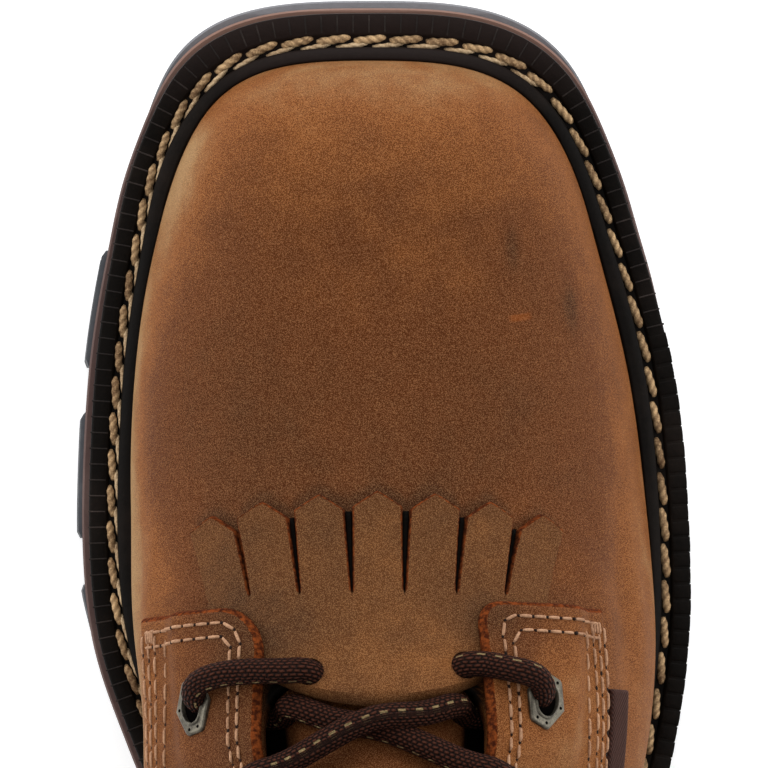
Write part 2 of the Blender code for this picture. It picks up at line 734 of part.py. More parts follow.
def make_eyelets():
    mesh = eyelet_mesh()
    for pair in range(EYELET_PAIRS):
        at = eyelet_at(pair)
        for side, word in ((INNER, "inner"), (OUTER, "outer")):
            reach = side * eyelet_reach(at, side)
            up = skin_normal(at, reach)
            along = (on_rib(at + 1, reach) - on_rib(at - 1, reach)).normalized()
            across = up.cross(along).normalized()
            turn = Matrix((across.cross(up), across, up)).transposed().to_4x4()
            eyelet = bpy.data.objects.new(f"eyelet_{word}_{pair + 1}", mesh)
            boot.objects.link(eyelet)
            eyelet.parent = origin
            seat = skin(at, reach, stay_top(at, reach) + EYELET_CLEAR)
            eyelet.matrix_world = Matrix.Translation(seat) @ turn


def lace_strand(spots):
    """A round lace through points given by station, reach and lift, as a welded mesh object."""
    curve = bpy.data.curves.new("strand", "CURVE")
    curve.dimensions = "3D"
    curve.bevel_depth = LACE_WIDE / 2 * MM
    curve.bevel_resolution = LACE_BEVEL
    curve.use_fill_caps = True
    spline = curve.splines.new("POLY")
    spline.points.add(len(spots) - 1)
    for point, spot in zip(spline.points, spots):
        point.co = (*skin(*spot), 1)
    strand = bpy.data.objects.new("strand", curve)
    boot.objects.link(strand)
    mesh = evaluated_mesh(strand)
    bpy.data.objects.remove(strand)
    bm = bmesh.new()
    bm.from_mesh(mesh)
    bmesh.ops.remove_doubles(bm, verts=bm.verts, dist=MERGE)
    bmesh.ops.recalc_face_normals(bm, faces=bm.faces)
    return mesh_object("strand", bm, "lace brown")


def lace_over_stay(side, at, above):
    """The end of a strand: over the stay's edge and out to the middle of its eyelet."""
    half, reach, radius = stay_half(at, side), eyelet_reach(at, side), LACE_WIDE / 2 + GAP
    edge_lift = stay_top(at, half) + radius
    end_lift = stay_top(at, reach) + EYELET_CLEAR + EYELET_THICK + radius
    spots = []
    for points, middle, lift in ((OVER_EDGE, half, edge_lift), (OVER_EYELET, reach, end_lift)):
        for point in points:
            spots.append((at - above * point.share, side * (middle + point.reach), lift + point.lift))
    return spots


def make_laces():
    at = eyelet_at(0)
    hole_lift = GAP + KILTIE_THICK + LACE_WIDE / 2 + GAP
    for side, word in ((INNER, "inner"), (OUTER, "outer")):
        hole_at, hole_reach = KILTIE_HOLE_AT[side], KILTIE_HOLE_REACH[side] + LACE_HOLE_SHIFT
        hole = (hole_at + LACE_HOLE_SHIFT, side * hole_reach, hole_lift)
        strand = lace_strand([hole] + lace_over_stay(side, at, at - hole_at)[1:])
        strand.name = f"lace_start_{word}"
    low = -WALL - TONGUE_CLEAR + LACE_WIDE / 2 + 2 * GAP
    for pair in range(EYELET_PAIRS - 1):
        start, end = eyelet_at(pair) + LACE_START, eyelet_at(pair + 1)
        middle = eyelet_at(pair) + LACE_CROSS
        rise = start + (middle - start) * LACE_RISE_SHARE
        strands = []
        for side, hump in ((INNER, 0), (OUTER, LACE_HUMP)):
            spots = [
                (start, side * (stay_half(start, side) - LACE_TUCK), low),
                (rise, side * LACE_RISE_REACH, low + hump * LACE_RISE_HUMP),
                (middle, -side * LACE_PAST_MIDDLE, low + hump),
            ]
            strands.append(lace_strand(spots + lace_over_stay(-side, end, end - middle)))
        crossing = strands[0]
        crossing.name = f"lace_crossing_{pair + 1}"
        boolean(crossing, as_cutter(strands[1]), "UNION")
        weld = crossing.modifiers.new("weld", "WELD")
        weld.merge_threshold = LACE_WELD * MM


def make_materials():
    made = {}
    for name, (colour, roughness, metallic) in COLOURS.items():
        material = bpy.data.materials.new(name)
        material.use_nodes = True
        shader = material.node_tree.nodes["Principled BSDF"]
        shader.inputs["Base Color"].default_value = (*colour, 1)
        shader.inputs["Roughness"].default_value = roughness
        shader.inputs["Metallic"].default_value = metallic
        made[name] = material
    return made


for old in list(bpy.data.objects):
    bpy.data.objects.remove(old)
boot = bpy.data.collections.new("work_boot")
cutters = bpy.data.collections.new("cutters")
for collection in (boot, cutters):
    bpy.context.scene.collection.children.link(collection)
origin = bpy.data.objects.new("boot_origin", None)
boot.objects.link(origin)
materials = make_materials()

make_outsole()
make_heel()
slab("midsole", 0, OUTSOLE_TOP + GAP, MIDSOLE_TOP, "midsole brown")
slab("insole", FEATHER_INSET + WALL + INSOLE_CLEAR, FEATHER_UP, FEATHER_UP + INSOLE_THICK, "lining")
make_welt(make_upper())
make_tongue()
make_kiltie()
make_stay(INNER, "stay_inner")
make_stay(OUTER, "stay_outer")
make_tag()
make_eyelets()
make_laces()
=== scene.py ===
import math

import bmesh
import bpy
import numpy as np
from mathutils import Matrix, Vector
from mathutils.bvhtree import BVHTree


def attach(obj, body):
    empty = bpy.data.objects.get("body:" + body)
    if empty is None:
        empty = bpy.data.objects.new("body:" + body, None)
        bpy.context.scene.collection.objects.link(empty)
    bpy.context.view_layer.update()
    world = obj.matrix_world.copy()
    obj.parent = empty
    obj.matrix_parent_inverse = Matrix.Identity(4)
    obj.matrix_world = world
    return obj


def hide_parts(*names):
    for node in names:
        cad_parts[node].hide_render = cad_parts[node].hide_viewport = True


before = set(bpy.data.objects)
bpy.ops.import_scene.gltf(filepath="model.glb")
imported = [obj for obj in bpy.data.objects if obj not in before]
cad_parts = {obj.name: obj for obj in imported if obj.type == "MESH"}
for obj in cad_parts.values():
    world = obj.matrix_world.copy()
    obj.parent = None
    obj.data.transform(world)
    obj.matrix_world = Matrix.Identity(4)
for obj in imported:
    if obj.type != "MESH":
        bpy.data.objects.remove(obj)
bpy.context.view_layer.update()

print("frame loaded:", len(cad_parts), "nodes")

# Sizes are millimetres. A right boot: the inner side, by the big toe, is -X.
mm = 0.001
inner, outer = -1, 1
bothSides = (inner, outer)
sideWord = {inner: "inner", outer: "outer"}


def ease(low, high, value):
    share = np.clip((np.asarray(value, float) - low) / (high - low), 0, 1)
    return share * share * (3 - 2 * share)


def fall(low, high, value):
    return 1 - ease(low, high, value)


def roundedEnd(depth, reach, square):
    share = np.clip(np.asarray(depth, float) / reach, 0, 1)
    return (1 - (1 - share) ** square) ** (1 / square)


def unitRows(vectors):
    return vectors / np.maximum(np.linalg.norm(vectors, axis=-1, keepdims=True), 1e-9)


def runAlong(points):
    return np.concatenate([[0], np.cumsum(np.linalg.norm(np.diff(points, axis=0), axis=1))])


def readAt(points, run, where):
    return np.stack([np.interp(where, run, points[:, k]) for k in range(3)], -1)


def curveThrough(rows, column):
    knots = np.array([row[0] for row in rows], float)
    values = np.array([row[column] for row in rows], float)
    steps = np.diff(values) / np.diff(knots)
    slopes = np.concatenate([steps[:1], (steps[:-1] + steps[1:]) / 2, steps[-1:]])

    def read(at):
        at = np.asarray(at, float)
        i = np.clip(np.searchsorted(knots, at, side="right") - 1, 0, len(knots) - 2)
        wide = knots[i + 1] - knots[i]
        u = np.clip((at - knots[i]) / wide, 0, 1)
        ends = values[i] * (1 + 2 * u) * (1 - u) ** 2 + values[i + 1] * u * u * (3 - 2 * u)
        return ends + wide * u * (1 - u) * (slopes[i] * (1 - u) - slopes[i + 1] * u)
    return read


# The sole's outline and the line its underside follows, as in the solids.
sole = {
    "length": 313, "toeRound": 38, "toeSquare": 3.0, "heelRound": 42, "heelSquare": 2.3,
    "lugDeep": 6, "toeSpring": 13, "springFrom": 75, "heelRise": 24, "arch": (135, 236),
    "lugOut": 1.3, "bumperOut": 2.2, "featherUp": 10.6, "samples": 4001,
    # where the photo's edge lies inside or outside the solids' one: amount, from, to
    "outerIn": [(-0.6, 36, 52), (1.0, 62, 108), (0.9, 112, 148), (-1.3, 190, 260)],
    "innerOut": [(1.0, 9, 34), (-1.0, 48, 92)],
    # behind the toe tip, middle, half width
    "outline": [
        (0, -3.0, 43.0), (20, -1.9, 44.6), (40, -1.1, 49.6), (70, 0.1, 55.9), (100, 1.0, 58.3),
        (120, 2.0, 57.2), (140, 4.2, 52.6), (160, 6.0, 46.0), (185, 6.4, 40.0), (215, 4.6, 38.4),
        (250, 2.8, 39.6), (285, 2.0, 40.5), (313, 2.0, 40.0),
    ],
}
outlineCentre = curveThrough(sole["outline"], 1)
outlineHalf = curveThrough(sole["outline"], 2)


def soleLine(back):
    spring = np.clip(1 - np.maximum(back, 0) / sole["springFrom"], 0, 1) ** 2
    return sole["lugDeep"] + sole["toeSpring"] * spring + sole["heelRise"] * ease(*sole["arch"], back)


def edgeHalf(back, inset):
    toe = roundedEnd(back - inset, sole["toeRound"] - inset, sole["toeSquare"])
    heel = roundedEnd(sole["length"] - inset - back, sole["heelRound"] - inset, sole["heelSquare"])
    return (outlineHalf(back) - inset) * toe * heel


def stepped(steps, at):
    return sum(amount * ease(low, high, at) for amount, low, high in steps)


def edge(turn, inset):
    # turn 0 to 1 runs down the inner side from toe to heel, 1 to 2 back up the outer side
    turn = np.asarray(turn, float)
    side = np.where(turn < 1, inner, outer)
    along = np.where(turn < 1, turn, 2 - turn)
    back = inset + along * (sole["length"] - 2 * inset)
    middle = outlineCentre(back)
    x = middle + side * edgeHalf(back, inset)
    outerX = np.maximum(x - stepped(sole["outerIn"], back), middle)
    return np.where(side == outer, outerX, x - stepped(sole["innerOut"], back)), back


swing = 0.5 - 0.5 * np.cos(np.pi * np.linspace(0, 1, sole["samples"]))
denseTurn = np.concatenate([swing, 1 + swing[1:]])
denseBack = np.linspace(0, sole["length"], sole["samples"])
denseMiddle, widest = outlineCentre(denseBack), edgeHalf(denseBack, -sole["lugOut"])
midX = ((denseMiddle - widest).min() + (denseMiddle + widest).max()) / 2
midBack = (sole["length"] - sole["bumperOut"]) / 2


def place(x, back, z):
    x, back, z = np.broadcast_arrays(np.asarray(x, float), back, z)
    return np.stack([x - midX, midBack - back, z], -1) * mm


def soleSpot(turn, inset, up):
    x, back = edge(turn, inset)
    return place(x, back, soleLine(back) + up)


def roundRun(inset):
    # lengths along the line that lies inset from the sole's edge
    return runAlong(soleSpot(denseTurn, inset, 0))


def evenTurns(count, inset):
    # places round the sole at even steps of that line
    run = roundRun(inset)
    return np.interp(np.arange(count) * run[-1] / count, run, denseTurn)


# The leather's outer face: ribs from the ridge down to the feather line.
last = {
    "featherInset": 9.2, "trim": 1.3, "wall": 2.2, "heelAt": 222, "collarAt": 310, "endAt": 334,
    "crown": 34, "crownSquare": 2.3, "toeAt": 9.2, "toeTo": 40, "toeRows": 44, "step": 0.8,
    "columns": 120, "ribPoints": 180, "heelSoft": (197, 207), "heelFirm": (238, 250),
    "footFirm": (0.84, 0.97), "heelPasses": 260, "creaseRidge": 0.55, "creaseSway": 1.2,
    "creaseWaves": 2.1,
    # station, foot behind the toe tip, foot above the feather line
    "feet": [
        (9.2, 9.2, 0), (40, 40, 0), (70, 70, 0), (100, 102, 0), (130, 138, 0), (147, 163, 0),
        (165, 190, 0), (178.5, 217, 0), (190.5, 245, 0), (200, 268.5, 0), (208, 289.5, 0),
        (215, 300.3, 0), (219, 303.2, 0), (222, 303.8, 0), (225, 304, 5), (232, 304.9, 21),
        (250, 303.6, 58), (270, 302.6, 94), (290, 304.6, 136), (310, 308, 192), (334, 309.5, 214),
    ],
    # station, ridge behind the toe tip, its height, share of the foot's half kept, girth added,
    # roundness low and high on the rib, ridge's sideways place
    "sections": [
        (9.2, 9.2, 63, .93, 0, 2.8, 2.5, -3), (40, 40, 61.5, .93, 0, 2.8, 2.4, -2.6),
        (70, 70, 65, .93, 0, 2.7, 2.3, -2.8), (100, 100, 72.5, .915, 0, 2.55, 2.2, -3.1),
        (130, 130, 84.5, .87, 4.5, 2.5, 2.1, -3), (147, 144, 94.5, .66, 13, 2.4, 2.05, -3.2),
        (165, 158, 105.5, .42, 21, 2.3, 2, -3), (178.5, 168, 114.5, .30, 25.5, 2.4, 2, -2.4),
        (190.5, 176, 123.5, .25, 28, 2.5, 2, -1.2), (200, 181, 131.5, .20, 30.2, 2.55, 2, -.2),
        (208, 184.5, 138.5, .12, 34.2, 2.6, 2, .6), (215, 187, 145.5, .06, 37.1, 2.65, 2, 1.2),
        (222, 188.5, 152.5, 0, 38.7, 2.7, 2, 1.6), (232, 190, 162.5, 0, 39.2, 2.6, 2, 1.8),
        (250, 191, 180.5, 0, 39.5, 2.4, 2, 2), (270, 191, 200.5, 0, 40.5, 2.2, 2, 2),
        (290, 190.5, 220.5, 0, 44.5, 2.1, 2, 2), (310, 190, 240.5, 0, 49, 2, 2, 2),
        (334, 189.5, 264.5, 0, 51, 2, 2, 2),
    ],
    # soft troughs: station, reach, degrees from the boot's length, half length, half width, depth
    "creases": [
        (110, 57, 4, 15, 3.6, 0.9), (104, 49, 10, 9, 3.0, 0.35), (108, -58, -5, 13, 3.4, 0.6),
        (176, 62, 52, 17, 3.6, 1.2), (188, 74, 60, 18, 4.0, 1.4), (178, -63, -50, 16, 3.6, 1.1),
        (191, -76, -62, 18, 4.0, 1.3), (215, 96, 82, 20, 4.4, 1.1), (214, -98, -80, 20, 4.2, 1.1),
        (240, 92, 86, 24, 5.0, 0.8), (246, -90, -88, 22, 5.0, 0.9), (272, 84, 80, 20, 5.5, 0.6),
        (60, 30, 60, 14, 5.0, 0.12), (66, -26, -50, 16, 5.0, 0.12),
    ],
    # broad swells: station, reach, half length, half width, lift
    "swells": [
        (114, 74, 20, 13, 1.2), (148, 74, 22, 22, 2.6), (106, -84, 22, 14, -2.3),
        (50, -64, 18, 14, 0.9), (146, -68, 15, 26, 8.4), (164, -74, 18, 26, 3.6),
    ],
}
sectionCurves = [curveThrough(last["sections"], column) for column in range(1, 8)]
footBackAt = curveThrough(last["feet"], 1)
footUpAt = curveThrough(last["feet"], 2)


def leatherRib(at, side):
    ridgeBack, ridgeZ, keep, girth, low, top, lean = [float(curve(at)) for curve in sectionCurves]
    footBack = float(footBackAt(at))
    footZ = float(soleLine(footBack)) + sole["featherUp"] - last["trim"] + max(float(footUpAt(at)), 0)
    crown = float(roundedEnd(ridgeBack - last["featherInset"], last["crown"], last["crownSquare"]))
    ridgeZ = footZ + (ridgeZ - footZ) * crown
    footHalf = float(edgeHalf(footBack, last["featherInset"])) if at < last["heelAt"] else 0.0
    midHalf = keep * footHalf + girth
    up = (1 + np.cos(np.pi * np.arange(last["ribPoints"] + 1) / last["ribPoints"])) / 2
    power = low + (top - low) * ease(0, 1, up)
    swell = midHalf ** power - footHalf ** power / 2
    half = np.maximum(footHalf ** power * (1 - up) + 4 * swell * up * (1 - up), 0) ** (1 / power)
    footX = float(outlineCentre(footBack))
    x = footX + (lean - footX) * up + side * half
    return np.stack([x, footBack + (ridgeBack - footBack) * up, footZ + (ridgeZ - footZ) * up], -1)


def mounds(spots, at, reach):
    # the sum of soft spots: station, reach, half length, half width, amount
    total = np.zeros(np.broadcast(at, reach).shape)
    for spotAt, spotReach, long, wide, amount in spots:
        total += amount * np.exp(-((at - spotAt) / long) ** 2 - ((reach - spotReach) / wide) ** 2)
    return total


def creaseLift(at, reach):
    lift = mounds(last["swells"], at, reach)
    for creaseAt, creaseReach, turn, long, wide, deep in last["creases"]:
        angle = math.radians(turn)
        run = (at - creaseAt) * math.cos(angle) + (reach - creaseReach) * math.sin(angle)
        off = (reach - creaseReach) * math.cos(angle) - (at - creaseAt) * math.sin(angle)
        off = off + last["creaseSway"] * np.sin(run / long * last["creaseWaves"] + creaseAt)
        ridges = last["creaseRidge"] * np.exp(-((np.abs(off) - 2 * wide) / wide) ** 2)
        lift += deep * np.exp(-(run / long) ** 2) * (ridges - np.exp(-(off / wide) ** 2))
    return lift


def skinNormals(grids):
    normals = {}
    for side, grid in grids.items():
        normal = np.cross(np.gradient(grid, axis=1), np.gradient(grid, axis=0)) * side
        # at the toe tip the ribs lie too close to give a facing of their own
        normal[:3] = normal[3]
        normals[side] = unitRows(normal)
    ridge = unitRows(normals[inner][:, 0] + normals[outer][:, 0])
    for side in bothSides:
        normals[side][:, 0] = ridge
    return normals


def leatherGrids():
    share = np.arange(last["toeRows"]) / last["toeRows"]
    toe = last["toeAt"] + (last["toeTo"] - last["toeAt"]) * share ** 3
    ats = np.concatenate([toe, np.arange(last["toeTo"], last["endAt"] + 0.01, last["step"])])
    shares = np.linspace(0, 1, last["columns"] + 1)
    # the fold where the ribs leave the feather line at the heel is eased out
    soften = (ease(*last["heelSoft"], ats) * fall(*last["heelFirm"], ats))[1:-1, None, None]
    soften = 0.25 * soften * fall(*last["footFirm"], shares)[None, :, None]
    grids, lengths = {}, {}
    for side in bothSides:
        ribs = [leatherRib(at, side) for at in ats]
        runs = [runAlong(rib) for rib in ribs]
        grid = np.array([readAt(rib, run, shares * run[-1]) for rib, run in zip(ribs, runs)])
        for _ in range(last["heelPasses"]):
            grid[1:-1] += soften * (grid[:-2] - 2 * grid[1:-1] + grid[2:])
        grids[side] = grid
        lengths[side] = np.array([run[-1] for run in runs])
    normals = skinNormals(grids)
    for side in bothSides:
        reach = side * shares[None, :] * lengths[side][:, None]
        grids[side] = grids[side] + normals[side] * creaseLift(ats[:, None], reach)[..., None]
    return ats, grids, lengths, skinNormals(grids)


leatherAts, leatherPoints, leatherLengths, leatherNormals = leatherGrids()


def ribLength(at, side):
    return np.interp(at, leatherAts, leatherLengths[side])


def between(grid, row, column):
    i = np.clip(np.floor(row).astype(int), 0, grid.shape[0] - 2)
    j = np.clip(np.floor(column).astype(int), 0, grid.shape[1] - 2)
    u, v = (row - i)[:, None], (column - j)[:, None]
    low = grid[i, j] * (1 - v) + grid[i, j + 1] * v
    return low * (1 - u) + (grid[i + 1, j] * (1 - v) + grid[i + 1, j + 1] * v) * u


def skin(at, reach, lift=0.0, wantNormals=False):
    # a point by station, distance from the ridge round the rib and height above the leather
    at, reach, lift = np.broadcast_arrays(np.asarray(at, float), reach, lift)
    shape = at.shape + (3,)
    at, reach, lift = at.ravel(), reach.ravel(), lift.ravel()
    points, normals = np.empty((at.size, 3)), np.empty((at.size, 3))
    row = np.interp(at, leatherAts, np.arange(len(leatherAts)))
    for side in bothSides:
        mine = (reach >= 0) == (side == outer)
        share = np.abs(reach[mine]) / np.maximum(ribLength(at[mine], side), 1e-6)
        column = np.clip(share, 0, 1) * last["columns"]
        points[mine] = between(leatherPoints[side], row[mine], column)
        normals[mine] = between(leatherNormals[side], row[mine], column)
    normals = unitRows(normals)
    points = points + normals * lift[:, None]
    placed = place(*points.T).reshape(shape)
    if wantNormals:
        return placed, (normals * (1, -1, 1)).reshape(shape)
    return placed


print("leather surface:", len(leatherAts), "ribs")


# Materials: Wire lets shader sums read as plain ones, Shade builds one material.
class Wire:
    def __init__(self, shade, socket):
        self.shade = shade
        self.socket = socket

    def sum(self, operation, *terms):
        return self.shade.node("ShaderNodeMath", {"operation": operation}, dict(enumerate(terms)))

    def __add__(self, other):
        return self.sum("ADD", self, other)

    def __sub__(self, other):
        return self.sum("SUBTRACT", self, other)

    def __rsub__(self, other):
        return self.sum("SUBTRACT", other, self)

    def __mul__(self, other):
        return self.sum("MULTIPLY", self, other)

    def __truediv__(self, other):
        return self.sum("DIVIDE", self, other)

    __radd__ = __add__
    __rmul__ = __mul__

    def sine(self):
        return self.sum("SINE", self)

    def size(self):
        return self.sum("ABSOLUTE", self)

    def part(self):
        return self.sum("FRACT", self)

    def floor(self):
        return self.sum("FLOOR", self)

    def ramp(self, low, high):
        sockets = {"Value": self, "From Min": low, "From Max": high}
        return self.shade.node("ShaderNodeMapRange", {"interpolation_type": "SMOOTHSTEP"}, sockets)


class Shade:
    def __init__(self, name, fixed):
        self.material = bpy.data.materials.new(name)
        self.material.use_nodes = True
        self.tree = self.material.node_tree
        self.shader = self.tree.nodes["Principled BSDF"]
        for socket, value in fixed.items():
            self.shader.inputs[socket].default_value = value

    def node(self, kind, settings=None, sockets=None, out=0):
        node = self.tree.nodes.new(kind)
        for key, value in (settings or {}).items():
            setattr(node, key, value)
        for key, value in (sockets or {}).items():
            if isinstance(value, Wire):
                self.tree.links.new(value.socket, node.inputs[key])
            else:
                node.inputs[key].default_value = value
        return Wire(self, node.outputs[out])

    def feed(self, **wires):
        for name, wire in wires.items():
            self.tree.links.new(wire.socket, self.shader.inputs[name.replace("_", " ")])
        return self.material

    def spots(self):
        return self.node("ShaderNodeTexCoord", out=3)

    def noise(self, scale, detail=3.0, rough=0.55, warp=0.0):
        sockets = {"Vector": self.spots(), "Scale": scale, "Detail": detail, "Roughness": rough}
        return self.node("ShaderNodeTexNoise", None, {**sockets, "Distortion": warp})

    def cells(self, scale, feature="F1"):
        sockets = {"Vector": self.spots(), "Scale": scale}
        return self.node("ShaderNodeTexVoronoi", {"feature": feature}, sockets)

    def vectors(self, operation, first, second, out=0):
        return self.node("ShaderNodeVectorMath", {"operation": operation}, {0: first, 1: second}, out)

    def scratch(self, x, y, turn, long, wide):
        # a soft short line seen from above
        apart = self.vectors("SUBTRACT", self.spots(), (x * mm, y * mm, 0))
        cosine, sine = math.cos(turn), math.sin(turn)
        along = self.vectors("DOT_PRODUCT", apart, (cosine, sine, 0), 1)
        across = self.vectors("DOT_PRODUCT", apart, (-sine, cosine, 0), 1)
        bend = (along * 900).sine() * 0.00012
        line = (across + bend).size().ramp(wide * mm, wide * mm * 0.4)
        return along.size().ramp(long * mm, long * mm * 0.5) * line

    def value(self, name):
        return self.node("ShaderNodeAttribute", {"attribute_name": name}, out=2)

    def blend(self, share, first, second):
        return self.node("ShaderNodeMix", {"data_type": "RGBA"}, {0: share, 6: first, 7: second}, 2)

    def bump(self, height, strength, distance):
        sockets = {"Height": height, "Strength": strength, "Distance": distance}
        return self.node("ShaderNodeBump", None, sockets)


def colour(*picture):
    # picture values 0 to 255 to light
    shares = [value / 255 for value in picture]
    return (*[v / 12.92 if v < 0.0404 else ((v + 0.055) / 1.055) ** 2.4 for v in shares], 1.0)


def leatherMaterial(name, look):
    shade = Shade(name, {"Specular IOR Level": look["shine"], "Coat Roughness": 0.5})
    cloud = shade.noise(look["cloud"], 3, 0.55, 0.5)
    mottle = shade.noise(look["mottle"], 3, 0.6)
    coarse, fine = look["dotScales"]
    speckle = shade.noise(coarse, 1, 0.6)
    dots = (speckle * 0.5 + shade.noise(fine, 0, 0.5) * 0.5).ramp(*look["dotEdge"])
    patches = (cloud - 0.5) * look["patch"] + (mottle - 0.5) * look["patch"] * 0.7
    # tone: the hide's own tones together with painted light and shade
    level = 0.42 + shade.value("tone") * 0.5 + patches
    base = look["dark"]
    for tint, low, high in look["steps"]:
        base = shade.blend(level.ramp(low, high), base, look[tint])
    share = look["speckle"] * (1 - level.ramp(0.6, 1.05) * 0.4)
    base = shade.blend((1 - dots) * share, base, look["pore"])
    base = shade.blend(dots.ramp(0.72, 1.0) * share * 0.34, base, look["dust"])
    for spot in look["scratches"]:
        base = shade.blend(shade.scratch(*spot) * mottle.ramp(0.3, 0.55) * 0.3, base, look["scuff"])
    # raw cut edges, and painted shade: gaps, slit walls and shaded borders blended to near black
    fuzz = (shade.value("raw") + (shade.noise(1500, 3, 0.7) - 0.5) * 0.8).ramp(0.38, 0.62)
    frayed = shade.blend(shade.noise(1100, 3, 0.65).ramp(0.36, 0.66), look["rawDark"], look["raw"])
    base = shade.blend(fuzz, base, frayed)
    base = shade.blend(shade.value("paintedShade"), base, look["gap"])
    grain = shade.cells(900, "DISTANCE_TO_EDGE").ramp(0, 0.35) * look["grain"]
    height = mottle * 0.3 + grain + dots * 0.5 + fuzz * shade.noise(1900, 2) * 1.2
    rough = 0.6 + (cloud - 0.5) * 0.2 + (speckle - 0.5) * 0.3 + fuzz * 0.25
    coat = (1 - fuzz) * look["coat"] * (0.4 + mottle)
    normal = shade.bump(height, look["bump"], 0.00025)
    return shade.feed(Base_Color=base, Roughness=rough, Coat_Weight=coat, Normal=normal)


leatherLook = {
    "cloud": 42, "mottle": 190, "patch": 0.4, "dotScales": (4500, 7000), "dotEdge": (0.42, 0.58),
    "speckle": 0.66, "grain": 0.25, "bump": 0.4, "shine": 0.04, "coat": 0.01,
    # tints that follow one another as the tone rises
    "steps": [("mid", -0.05, 0.4), ("warm", 0.36, 0.7), ("light", 0.62, 0.98)],
    # gap: the near black that painted shade blends to
    "dark": colour(66, 37, 20), "mid": colour(98, 52, 24), "warm": colour(140, 83, 40),
    "light": colour(165, 130, 90), "pore": colour(60, 28, 9), "dust": colour(188, 142, 96),
    "gap": colour(8, 5, 3), "raw": colour(122, 60, 25), "rawDark": colour(58, 24, 10),
    "scuff": colour(160, 84, 30),
    # x, y, turn, half length and half width
    "scratches": [(23.2, 95.9, 0.25, 2.6, 0.9)],
}
kiltieLook = {
    **leatherLook, "cloud": 70, "patch": 0.55, "speckle": 0.58, "coat": 0.0, "scratches": [],
    "dark": colour(58, 40, 28), "mid": colour(98, 62, 35), "warm": colour(128, 82, 45),
    "light": colour(172, 106, 52),
}
leather = leatherMaterial("oiledLeather", leatherLook)
kiltieLeather = leatherMaterial("kiltieLeather", kiltieLook)


def liningMaterial():
    shade = Shade("lining", {"Specular IOR Level": 0.2})
    weave = shade.noise(900, 2, 0.6)
    base = shade.blend(weave.ramp(0.3, 0.7), colour(96, 72, 52), colour(130, 102, 76))
    normal = shade.bump(weave, 0.4, 0.0003)
    return shade.feed(Base_Color=base, Roughness=0.8 + weave * 0.15, Normal=normal)


# where the toe's paler colour begins and is full, in metres forward of the middle
toeTintAt = (0.134, 0.154)


def rubberMaterial(name, dark, pale, dusty, rough, shine=0.14, toe=None):
    # pale dust gathers in patches, rubbed and speckled, and towards the toe the colour blends to a paler
    # one
    shade = Shade(name, {"Specular IOR Level": shine})
    patch = shade.noise(45, 4, 0.65)
    grit = shade.noise(900, 3, 0.7)
    fleck = shade.cells(850).ramp(0.22, 0.05) * patch.ramp(0.4, 0.7)
    share = patch.ramp(0.42, 0.8) * dusty + (grit - 0.5) * dusty * 0.7 + fleck * dusty * 0.6
    base = shade.blend(share, colour(*dark), colour(*pale))
    if toe:
        forward = shade.node("ShaderNodeSeparateXYZ", None, {0: shade.spots()}, 1)
        base = shade.blend(forward.ramp(*toeTintAt) * (0.7 + grit * 0.4), base, colour(*toe))
    normal = shade.bump(grit, 0.35, 0.00025)
    return shade.feed(Base_Color=base, Roughness=rough + (patch - 0.5) * 0.25, Normal=normal)


def threadMaterial(name, dark, pale, grooveShade=0.0):
    # grooveShade: how much darker the thread is painted between its plies, painted shade in the grooves
    shade = Shade(name, {"Specular IOR Level": 0.25})
    fibre = shade.noise(2600, 2, 0.6)
    worn = (fibre * 0.5 + shade.noise(120, 3, 0.6) * 0.6).ramp(0.3, 0.8)
    plyGrooveShade = shade.value("ply").ramp(0.5, -0.9)
    base = shade.blend(worn * (1 - plyGrooveShade * grooveShade), colour(*dark), colour(*pale))
    normal = shade.bump(fibre, 0.5, 0.0002)
    return shade.feed(Base_Color=base, Roughness=0.7 + fibre * 0.2, Normal=normal)


lining = liningMaterial()
# dark and pale colour, dust, roughness, shine, toe colour
rubberLooks = {
    "weltRubber": ((10, 7, 5), (66, 54, 47), 0.16, 0.55, 0.06, (36, 28, 26)),
    # weltRibDustAndHighlight: a paler, dustier copy of the welt rubber for the flat ribs, painted highlight
    # and dust
    "weltRibDustAndHighlight": ((30, 25, 23), (92, 80, 74), 0.5, 0.6),
    "midsoleRubber": ((86, 66, 62), (136, 114, 106), 0.4, 0.6, 0.14, (132, 101, 88)),
    "soleRubber": ((60, 62, 66), (130, 130, 132), 0.3, 0.6, 0.14, (126, 126, 130)),
    "needleHoleShade": ((28, 15, 9), (52, 30, 18), 0.3, 0.8),
}
rubbers = {name: rubberMaterial(name, *look) for name, look in rubberLooks.items()}
weltThread = threadMaterial("weltThread", (84, 57, 34), (214, 178, 132), 0.5)
weltThreadInner = threadMaterial("weltThreadInner", (128, 98, 68), (226, 198, 158), 0.3)
seamThread = threadMaterial("seamThread", (124, 86, 60), (196, 152, 118))


def laceMaterial():
    # braid: rows of small pillows, every second row half a step on, with two lines of pale flecks
    shade = Shade("laceBraid", {"Specular IOR Level": 0.08})
    turn, run = shade.value("turn"), shade.value("run")
    wobble = shade.noise(520, 2, 0.6) - 0.5
    row = turn * 20 + run / 30 + wobble * 0.9
    cell = run / 1.1 + row.floor() * 0.5 + wobble * 0.8
    across, along = row.part() - 0.5, cell.part() - 0.5
    pillow = (1 - across * across * 4) * (1 - along * along * 4)
    fibre = shade.noise(3200, 2, 0.6)
    # pillow tops painted paler and the gaps between them near black: painted highlight and shade
    pillowLight = (pillow * 0.65 + fibre * 0.6).ramp(0.25, 1.1)
    base = shade.blend(pillowLight, colour(13, 7, 5), colour(82, 45, 32))
    line = ((turn * 2 + 0.68).part() - 0.5).size().ramp(0.04, 0.022)
    dash = ((run / 3.1).part() - 0.5).size().ramp(0.24, 0.18)
    base = shade.blend(line * dash * (0.5 + fibre * 0.6), base, colour(158, 136, 96))
    normal = shade.bump(pillow + fibre * 0.25, 1.0, 0.0006)
    return shade.feed(Base_Color=base, Roughness=0.62 + fibre * 0.25, Normal=normal)


